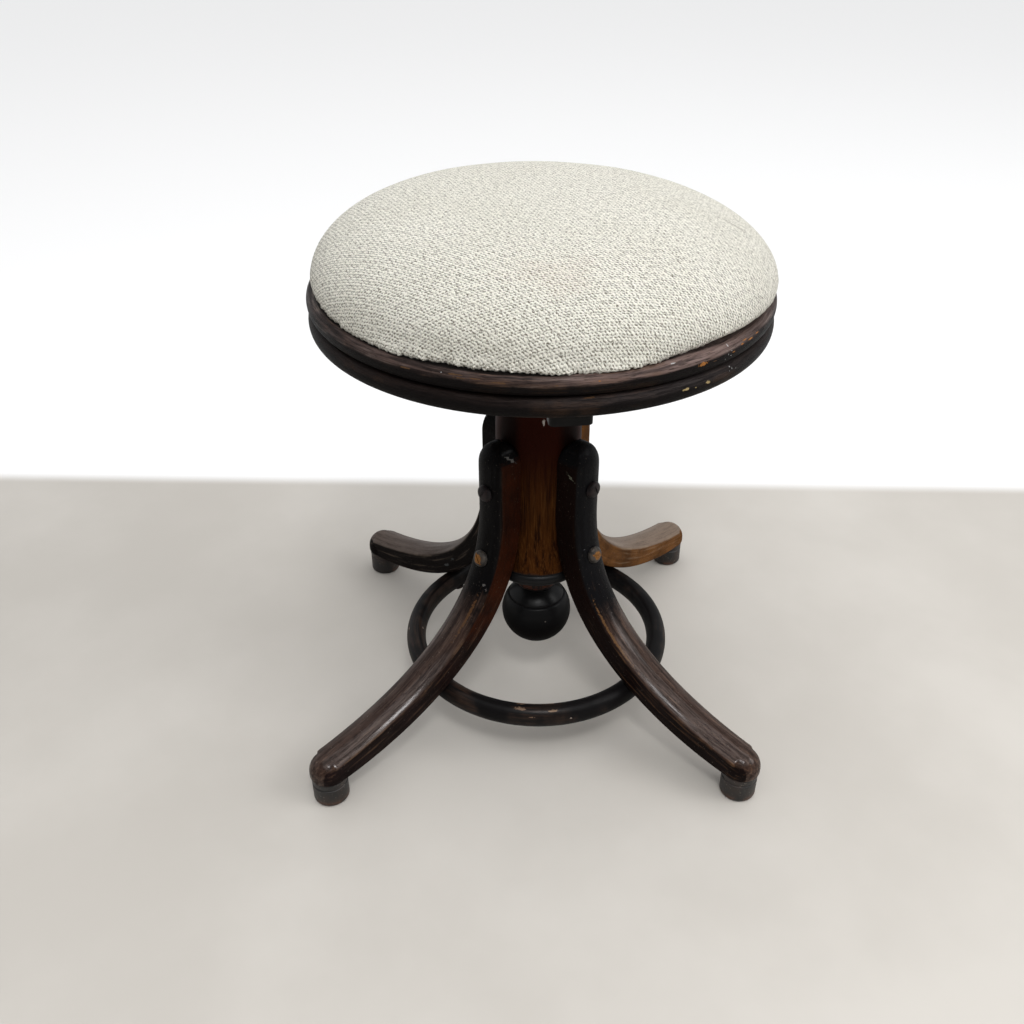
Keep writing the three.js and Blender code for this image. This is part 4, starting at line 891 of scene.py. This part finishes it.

# Rim: two rings of beech bent round and glued one on the other, each with a rounded outer face, so
# that a groove runs round between them. Near-black lacquer, rubbed to a satin brown over the top and
# chipped here and there. The paler tops are partly painted sheen, with painted highlight streaks, and
# a painted shadow runs under the cloth.
def rim_finish():
    """Mauve-brown over the top of the upper ring, worn and partly painted sheen, palest at the front
    right and darker towards the left, and nearly black below, with fine open pores, warmer patches,
    painted highlight streaks on the top, a painted shadow line under the cloth and small chips."""
    finish = Finish("rim_lacquer")
    place = finish.place()
    vector, w = ring_run(finish, 20.0, 380.0)
    streaks = finish.grain(vector, 1.0, 6.0, 0.62, w)
    vector, w = ring_run(finish, 110.0, 1700.0)
    pores = finish.grain(vector, 1.0, 4.0, 0.65, w)
    coat = finish.grain(place, 19.0, 5.0, 0.6)
    level = place.part("Z")
    uneven = (coat - 0.5) * 0.007 + (streaks - 0.5) * 0.006
    # The top of the upper ring is paler: worn lacquer and partly painted sheen.
    top = (level + uneven).band(0.3995, 0.4042)
    turn_by = place.azimuth()
    # Palest at the front right: wear and partly painted sheen.
    rubbed = (turn_by + math.radians(21.7)).sum("COSINE").band(0.85, 1.0)
    # The top of the lower ring is paler too: worn lacquer and partly painted sheen.
    lower_top = (level + uneven).band(0.384, 0.388) * (1.0 - level.band(0.3905, 0.3912))
    upper_tone = finish.mix(rubbed, (0.064, 0.042, 0.036), (0.165, 0.113, 0.1))
    # Darker towards the left.
    darker_left = (turn_by + math.radians(124.7)).sum("COSINE").band(0.7, 1.0) * 0.75
    upper_tone = finish.mix(darker_left, upper_tone, (0.01, 0.0065, 0.006))
    colour = finish.mix(top, (0.0036, 0.0026, 0.0025), upper_tone)
    lower_tone = finish.mix(rubbed, (0.019, 0.0125, 0.0108), (0.042, 0.034, 0.033))
    colour = finish.mix(lower_top * 0.65, colour, lower_tone)
    warm = coat.band(0.5, 0.62) * streaks.band(0.42, 0.6) * (0.2 + top * 0.45)
    colour = finish.mix(warm, colour, (0.085, 0.043, 0.022))
    colour = finish.mix((1.0 - streaks.band(0.38, 0.54)) * 0.72, colour, (0.0045, 0.003, 0.003))
    # Painted highlight streaks along the top of the upper ring.
    colour = finish.mix(streaks.band(0.54, 0.64) * top * 0.5, colour, (0.17, 0.13, 0.115))
    colour = finish.mix(pores.band(0.54, 0.64) * 0.7, colour, (0.003, 0.002, 0.002))
    # Painted shadow: a dark line just under the cloth's edge, wider where the cloth hangs loose.
    loose = (turn_by + math.radians(65.0)).sum("COSINE").band(0.82, 0.97)
    cloth_shadow = (level + loose * 0.0007 + (coat - 0.5) * 0.002).band(0.4066, 0.4071)
    colour = finish.mix(cloth_shadow * 0.96, colour, (0.0012, 0.001, 0.001))
    orange, tan, white, cream = (0.3, 0.12, 0.03), (0.085, 0.045, 0.022), (0.4, 0.4, 0.4), (0.36, 0.27, 0.13)
    colour = finish.marked(colour, turn_by * 0.18, level, [
        (math.radians(angle) * 180, height, long, tall, tint) for angle, height, long, tall, tint in (
            (-10.9, 400.4, 4.6, 1.6, orange), (9.4, 402.6, 4.0, 0.6, orange), (6.0, 402.0, 4.4, 0.6, orange),
            (2.4, 402.0, 2.6, 0.6, orange), (3.6, 403.6, 3.2, 0.4, orange), (-1.0, 400.0, 2.0, 0.5, orange),
            (-7.4, 399.5, 2.0, 0.5, tan), (-2.6, 405.4, 0.6, 0.9, white), (-3.4, 402.6, 0.5, 0.4, white),
            (-1.8, 401.6, 0.7, 0.35, white), (-2.9, 399.8, 0.4, 1.0, white), (-2.0, 398.2, 1.0, 0.4, white),
            (-3.8, 397.2, 0.6, 0.35, white), (-1.2, 388.6, 0.8, 0.4, white), (-0.6, 387.2, 0.4, 0.9, white),
            (-1.6, 386.2, 0.6, 0.35, white), (0.8, 385.8, 0.4, 0.3, white), (-18.5, 405.6, 2.4, 0.3, white),
            (-15.1, 385.4, 2.8, 1.0, cream), (-8.8, 385.3, 2.4, 1.1, cream), (-12.4, 384.6, 0.8, 0.5, cream),
            (-65.2, 404.0, 6.5, 0.6, tan), (-64.0, 402.4, 5.0, 0.5, tan), (-76.9, 402.0, 5.0, 0.8, tan),
            (-60.9, 403.1, 5.0, 0.6, tan), (-56.0, 402.0, 7.0, 0.6, tan), (-68.3, 404.0, 0.5, 0.4, white),
            (-35.3, 402.7, 1.3, 0.6, orange), (-37.0, 390.0, 5.0, 0.4, tan), (-44.0, 401.2, 1.2, 0.5, tan),
        )])
    ripple = finish.relief(coat, 0.001, 0.35)
    gloss = (0.3 + streaks.band(0.42, 0.6)) * (1.0 - pores.band(0.5, 0.62) * 0.7)
    return finish.wear(Base_Color=colour, Roughness=0.42 + pores * 0.2, Specular_IOR_Level=0.06,
                       Coat_Weight=0.01 + top * gloss * (1.0 - cloth_shadow) * 0.16, Coat_Roughness=0.28,
                       Normal=finish.relief(streaks * 0.6 - pores.band(0.45, 0.65), 0.0003, 0.9, ripple))


rim_wood = rim_finish()


rim_radius, ring_height, ring_shoulder, ring_chamfer = 180, 15.6, 173.2, 0.8


def ring_profile(foot, wall):
    crown, bulge, middle = 7.2, 5.5, foot + ring_height / 2
    face = [(rim_radius - bulge * (1 - math.cos(a)), middle + crown * math.sin(a))
            for a in np.linspace(-1.5, 1.5, 25)]
    bore, top = rim_radius - wall, foot + ring_height
    return [(bore, foot + ring_chamfer), (bore + ring_chamfer, foot), (ring_shoulder, foot), *face,
            (ring_shoulder, top), (bore + ring_chamfer, top), (bore, top - ring_chamfer)]


for name, foot_level, wall in (("upper", 391.4, 22), ("lower", 375.5, 30)):
    ring = turned(name + "_bent_ring", ring_profile(foot_level, wall), rim_wood, sides=256, ring=True,
                  wander=0.0035)
    fitted(ring, "seat", "rim_wood", name + "_rim_ring")

# Cushion: stuffing on the board under one round of coarse nubbly cloth, pulled over the edge and
# tacked down inside the upper ring, so that its sides draw in and its edge runs a little uneven. The
# stuffing has settled: it is widest from left to right and highest a little to the left.
cushion_foot, cushion_skirt, cushion_swell, cushion_crown = 400.2, 407.6, 414.0, 53.0
edge_radii = {-176: 176.6, -168: 175.2, -154: 172.4, -147: 171.0, -135: 172.4, -128: 174.4, -120: 173.6,
              -111: 170.8, -104: 173.6, -97: 171.8, -92: 173.0, -87: 175.7, -82: 173.8, -75: 177.4,
              -67: 176.6, -59: 169.6, -51: 167.6, -43: 168.6, -34: 171.0, -28: 173.0, -21: 176.0,
              30: 173.5, 90: 171.5, 140: 174.0, 184: 176.6}
# How far the hem hangs, or draws up, at each azimuth, in lengths of hang_step.
hang_step = 2.2
hem_hang = [(-180, -1.2), (-170, -1.5), (-160, -0.8), (-150, 0.1), (-140, 0.5), (-124, 0.85), (-110, 0.55),
            (-88, 0.85), (-80, 0.9), (-66, 0.4), (-54, 0.0), (-45, -0.4), (-24, -0.4), (-8, -0.9), (12, -0.9),
            (40, 0.0), (150, 0.0), (180, -1.2)]


def edge_at(azimuth):
    """The radius at which the cloth dives behind the rim, seen from the front."""
    place = (azimuth + 176) % 360 - 176
    stops = sorted(edge_radii)
    return float(np.interp(place, stops, [edge_radii[stop] for stop in stops]))


def half_width(turn):
    """The cushion's greatest radius at this turn, in radians, from its right-hand side."""
    return 174.0 + 1.5 * np.cos(turn) - 1.7 * np.sin(turn) + 3.1 * np.cos(2 * turn) - 1.3 * np.sin(2 * turn)


def cushion_meridian(azimuth, shrink):
    """The cushion's outline in one upright plane, from the middle of its foot to its top."""
    a = math.radians(azimuth)
    wide = half_width(a) - shrink
    tilt = 3.4 * math.sin(a) - 1.4 * math.cos(a)
    edge, skirt = edge_at(azimuth) + 3.4 - shrink, cushion_skirt - 0.5
    crown = [(wide * math.cos(t) ** 0.58, cushion_swell + tilt * math.sin(2 * t)
              + (cushion_crown - shrink) * math.sin(t) ** 1.06) for t in np.linspace(0, math.pi / 2, 30)]
    return [(150, cushion_foot), (157.2, cushion_foot + 0.6), (157.2, cushion_skirt - 0.4),
            (165, skirt), (edge, skirt), ((edge + wide) / 2 + 1.0, skirt + 2.9)] + crown


def woven_cloth():
    """Light nubs of a loose bulky yarn in two slanting sets of rows, with painted shade in the small pits
    between them.
    """
    finish = Finish("nubbly_cloth")
    lay = finish.kept("cloth")
    wander = finish.node("ShaderNodeTexNoise", {}, {"Vector": lay, "Scale": 150.0, "Detail": 2.0}, "Color")
    bent = finish.node("ShaderNodeVectorMath", {"operation": "MULTIPLY_ADD"},
                       {0: wander, 1: (0.0022, 0.0022, 0), 2: lay})
    first_rows = (bent.part("X") * -55.0 + bent.part("Y") * 232.0) * math.tau
    second_rows = (bent.part("X") * 130.0 + bent.part("Y") * 185.0) * math.tau
    fluff = finish.grain(lay, 860.0, 3.0, 0.8)
    nubs = (first_rows.sum("COSINE") * 0.12 + second_rows.sum("COSINE") * 0.1
            + (first_rows * 2.0).sum("COSINE") * 0.2 + (second_rows * 2.0).sum("COSINE") * 0.26
            + (second_rows * 2.0 - first_rows).sum("COSINE") * 0.18)
    body = nubs + (fluff - 0.5) * 3.6
    deeper = finish.grain(lay, 240.0, 2.0, 0.6)
    # Painted shade in the pits between the nubs.
    pit_shade = 1.0 - (body - (deeper - 0.5) * 1.3).band(-0.78, 0.26)
    shade = finish.grain(finish.place(), 11.0, 4.0)
    colour = finish.mix(shade.band(0.35, 0.7), (0.9, 0.875, 0.785), (0.86, 0.835, 0.74))
    colour = finish.mix(pit_shade, colour, (0.135, 0.118, 0.08))
    blot = finish.grain(finish.place(), 24.0, 3.0)
    away = ((lay.part("X") / 0.045) * (lay.part("X") / 0.045)
            + ((lay.part("Y") + 0.131) / 0.02) * ((lay.part("Y") + 0.131) / 0.02)).sum("SQRT")
    stain = (1.0 - (away + (blot - 0.5) * 3.0).band(0.3, 1.2)) * 0.1 + blot.band(0.62, 0.76) * 0.08
    colour = finish.mix(stain, colour, (0.5, 0.33, 0.24))
    # A crease, painted as a faint line of shade.
    down_crease = lay.part("X") * 0.908 - lay.part("Y") * 0.419
    colour = finish.marked(colour, down_crease, lay.part("X") * 0.419 + lay.part("Y") * 0.908,
                           [(135.7, 47.2, 17.0, 1.5, (0.42, 0.39, 0.33))])
    return finish.wear(Base_Color=colour, Roughness=0.9 + pit_shade * 0.08, Sheen_Weight=0.12,
                       Specular_IOR_Level=0.15,
                       Normal=finish.relief(body.band(-1.0, 1.0), 0.0012, 0.9))


# The camera looks along this heading, and the cushion's azimuths are told from it.
seat_heading = math.radians(42.3)
cushion_columns = 180
start_shrink, cloth_reach, swell_share, knit_size, cloth_moments = 1.2, 2.4, 0.35, 4.5, 20
shell_rows = []
for row in zip(*(cushion_meridian(k * 2.0, start_shrink)[:-1] for k in range(cushion_columns))):
    shell_rows.append([(r * math.cos(seat_heading + k * math.tau / cushion_columns),
                        r * math.sin(seat_heading + k * math.tau / cushion_columns), z)
                       for k, (r, z) in enumerate(row)])
points, faces = skinned(shell_rows)
pad_mesh = bpy.data.meshes.new("seat_pad")
pad_mesh.from_pydata([(x * mm, y * mm, z * mm) for x, y, z in points], [], faces)
face_outwards(pad_mesh)
pad = in_scene("seat_pad", pad_mesh)
knit = pad.modifiers.new("knit", "REMESH")
knit.mode, knit.voxel_size, knit.use_smooth_shade = "VOXEL", knit_size * mm, True
settled(pad)
start = np.array([v.co[:] for v in pad.data.vertices])
out = np.array([v.normal[:] for v in pad.data.vertices])
free = np.clip((start[:, 2] / mm - cushion_skirt - 1.0) / 5.0, 0.0, 1.0)
swell_by = np.full(len(start), start_shrink)
held = pad.vertex_groups.new(name="tacked")
for vertex in pad.data.vertices:
    held.add([vertex.index], 1.0 if vertex.co.z < (cushion_skirt + 1.2) * mm else 0.0, "REPLACE")
cloth = pad.modifiers.new("cloth", "CLOTH")
cloth.settings.use_pressure = True
cloth.settings.uniform_pressure_force = 4.0
cloth.settings.effector_weights.gravity = 0.0
cloth.settings.vertex_group_mass = "tacked"
cloth.settings.quality = 6
cloth.point_cache.frame_start, cloth.point_cache.frame_end = 1, cloth_moments
for moment in range(1, cloth_moments + 1):
    bpy.context.scene.frame_set(moment)
settled(pad)
bpy.context.scene.frame_set(1)
moved = np.array([v.co[:] for v in pad.data.vertices]) - start
rise = np.clip((moved * out).sum(axis=1) / mm, 0.0, 9.0)
ends = np.array([edge.vertices[:] for edge in pad.data.edges])
count = np.bincount(ends.ravel(), minlength=len(rise))
for _ in range(14):
    around_it = (np.bincount(ends[:, 0], rise[ends[:, 1]], len(rise))
                 + np.bincount(ends[:, 1], rise[ends[:, 0]], len(rise)))
    rise = 0.5 * rise + 0.5 * around_it / count
beyond = rise - np.median(rise[free > 0.5])
swell_by = np.clip(start_shrink + swell_share * beyond, 0.0, cloth_reach)
pad.data.vertices.foreach_set("co", (start + out * (swell_by * free)[:, None] * mm).ravel())
finer = pad.modifiers.new("finer", "SUBSURF")
finer.levels = finer.render_levels = 2
settled(pad)
# The nubs give the hem its teeth, and it hangs along its measured line. Both die away from the edge.
skirt_radius, outer_from, outer_fade, teeth_fade, hang_fade = 175, 158, 8, 3.0, 5.0
co = np.array([v.co[:] for v in pad.data.vertices])
azimuths = np.arctan2(co[:, 1], co[:, 0]) - seat_heading
tooth = (0.55 * np.sin(azimuths * 270 + 3 * np.sin(azimuths * 17))
         + 0.45 * np.sin(azimuths * 151 + 2 * np.sin(azimuths * 29)))
outer = np.clip((np.hypot(co[:, 0], co[:, 1]) / mm - outer_from) / outer_fade, 0, 1)
hem = np.exp(-((co[:, 2] / mm - cushion_skirt) / teeth_fade) ** 2) * outer
hang = np.interp(np.degrees(azimuths + math.pi) % 360 - 180, *zip(*hem_hang)) * outer
hang *= np.exp(-(np.maximum(co[:, 2] / mm - cushion_skirt, 0) / hang_fade) ** 2)
co[:, :2] *= (1 + ((tooth - 0.2) * hem * 0.8 + hang * hang_step) / skirt_radius)[:, None]
co[:, 2] -= (tooth * hem * 0.35 + hang * hang_step) * mm
pad.data.vertices.foreach_set("co", co.ravel())

# The cloth lies on the crown as if it were rolled out from the top: each point is as far from the
# middle of the weave as it is from the top of the seat.
meridian_width = 178.6
meridian = np.array([(0.0, cushion_swell + cushion_crown)] + cushion_meridian(0.0, 0.0)[::-1])
lengths = np.concatenate([[0], np.cumsum(np.linalg.norm(np.diff(meridian, axis=0), axis=1))])
co = np.array([v.co[:] for v in pad.data.vertices]) / mm
radius = np.hypot(co[:, 0], co[:, 1])
azimuths = np.arctan2(co[:, 1], co[:, 0]) - seat_heading
even = np.stack([radius * meridian_width / half_width(azimuths), co[:, 2]], 1)
nearest = ((even[:, None, :] - meridian[None, :, :]) ** 2).sum(axis=2).argmin(axis=1)
nearest = np.clip(nearest, 1, len(meridian) - 2)
run = meridian[nearest + 1] - meridian[nearest - 1]
run /= np.linalg.norm(run, axis=1)[:, None]
stretch = lengths[nearest] + ((even - meridian[nearest]) * run).sum(axis=1)
laid = np.stack([np.cos(azimuths), np.sin(azimuths)], 1) * stretch[:, None]
kept = pad.data.attributes.new("cloth", "FLOAT_VECTOR", "POINT")
kept.data.foreach_set("vector", np.concatenate([laid * mm, np.zeros((len(co), 1))], 1).ravel())
pad.data.materials.clear()
pad.data.materials.append(woven_cloth())
pad.data.shade_smooth()
fitted(pad, "seat", "woven_cloth", "seat_cushion")

# The setting: a plain pale floor that turns white further back, a broad soft lamp overhead, a small
# one in front for the gloss, a third from the right, and the camera where the picture was taken from.
floor_mesh = bpy.data.meshes.new("floor")
floor_reach = 6
floor_mesh.from_pydata([(-floor_reach, -floor_reach, 0), (floor_reach, -floor_reach, 0),
                        (floor_reach, floor_reach, 0), (-floor_reach, floor_reach, 0)], [],
                       [(0, 1, 2, 3)])
floor = in_scene("floor", floor_mesh)
ground = Finish("pale_floor")
facing = math.radians(90) + seat_heading
spread = ground.place().stretched((math.cos(facing), math.sin(facing), 0.0))
depth = spread.part("X") + spread.part("Y")
mottle = ground.grain(ground.place(), 3.0, 5.0)
tone = ground.mix(mottle.band(0.35, 0.7), (0.425, 0.4, 0.366), (0.48, 0.455, 0.42))
far = depth.band(0.33, 0.36)
seen = ground.node("ShaderNodeLightPath", {}, {}, "Is Camera Ray")
mirrored = ground.node("ShaderNodeLightPath", {}, {}, "Is Glossy Ray")
lit = ground.mix(far * seen.sum("MAXIMUM", mirrored), (0.0, 0.0, 0.0), (0.56, 0.56, 0.56))
ground.wear(Base_Color=ground.mix(far, tone, (0.38, 0.38, 0.382)), Roughness=0.85, Emission_Color=lit,
            Emission_Strength=1.0)
floor_mesh.materials.append(ground.material)

world = bpy.data.worlds.new("studio")
bpy.context.scene.world = world
world.use_nodes = True
air = Net(world.node_tree)
view = air.node("ShaderNodeTexCoord", {}, {}, "Generated")
view = view.stretched((math.cos(facing), math.sin(facing), 0.0))
behind = (view.part("X") + view.part("Y")).band(-0.9, 0.3)
glow = air.node("ShaderNodeMix", {"data_type": "RGBA"},
                {0: behind, 6: (0.25, 0.25, 0.25), 7: (0.74, 0.75, 0.76)}, 2)
air.feed(world.node_tree.nodes["Background"].inputs["Color"], glow)


def soft_lamp(name, place, size, power):
    """A round lamp, aimed at the middle of the stool."""
    lamp = bpy.data.lights.new(name, "AREA")
    lamp.shape, lamp.size, lamp.energy = "DISK", size, power
    aim = (place - Vector((0, 0, 0.25))).to_track_quat("Z", "Y")
    in_scene(name, lamp).matrix_world = Matrix.Translation(place) @ aim.to_matrix().to_4x4()


around = Matrix.Rotation(seat_heading, 4, "Z")
soft_lamp("overhead", around @ Vector((0.4, -0.45, 2.4)), 4.0, 67)
soft_lamp("skylight", around @ Vector((0.25, -1.4, 2.4)), 0.55, 18)
soft_lamp("right_window", around @ Vector((2.2, -0.5, 1.6)), 1.4, 17)

pan, pitch, roll, eye = -0.0301, 0.5889, -0.0038, (0, -0.75576, 0.69039)
focal_pixels, picture_pixels = 1015.19, 1024
ahead = Vector((math.sin(pan) * math.cos(pitch), math.cos(pan) * math.cos(pitch), -math.sin(pitch)))
level_right = Vector((math.cos(pan), -math.sin(pan), 0))
level_up = level_right.cross(ahead)
right = math.cos(roll) * level_right + math.sin(roll) * level_up
above = math.cos(roll) * level_up - math.sin(roll) * level_right
stance = Matrix((right, above, -ahead)).transposed().to_4x4()
lens = bpy.data.cameras.new("camera")
lens.sensor_width = 36.0
lens.lens = focal_pixels / picture_pixels * lens.sensor_width
lens.clip_start = 0.01
camera = in_scene("camera", lens)
camera.matrix_world = around @ Matrix.Translation(eye) @ stance
bpy.context.scene.camera = camera
bpy.context.scene.view_settings.view_transform = "Standard"
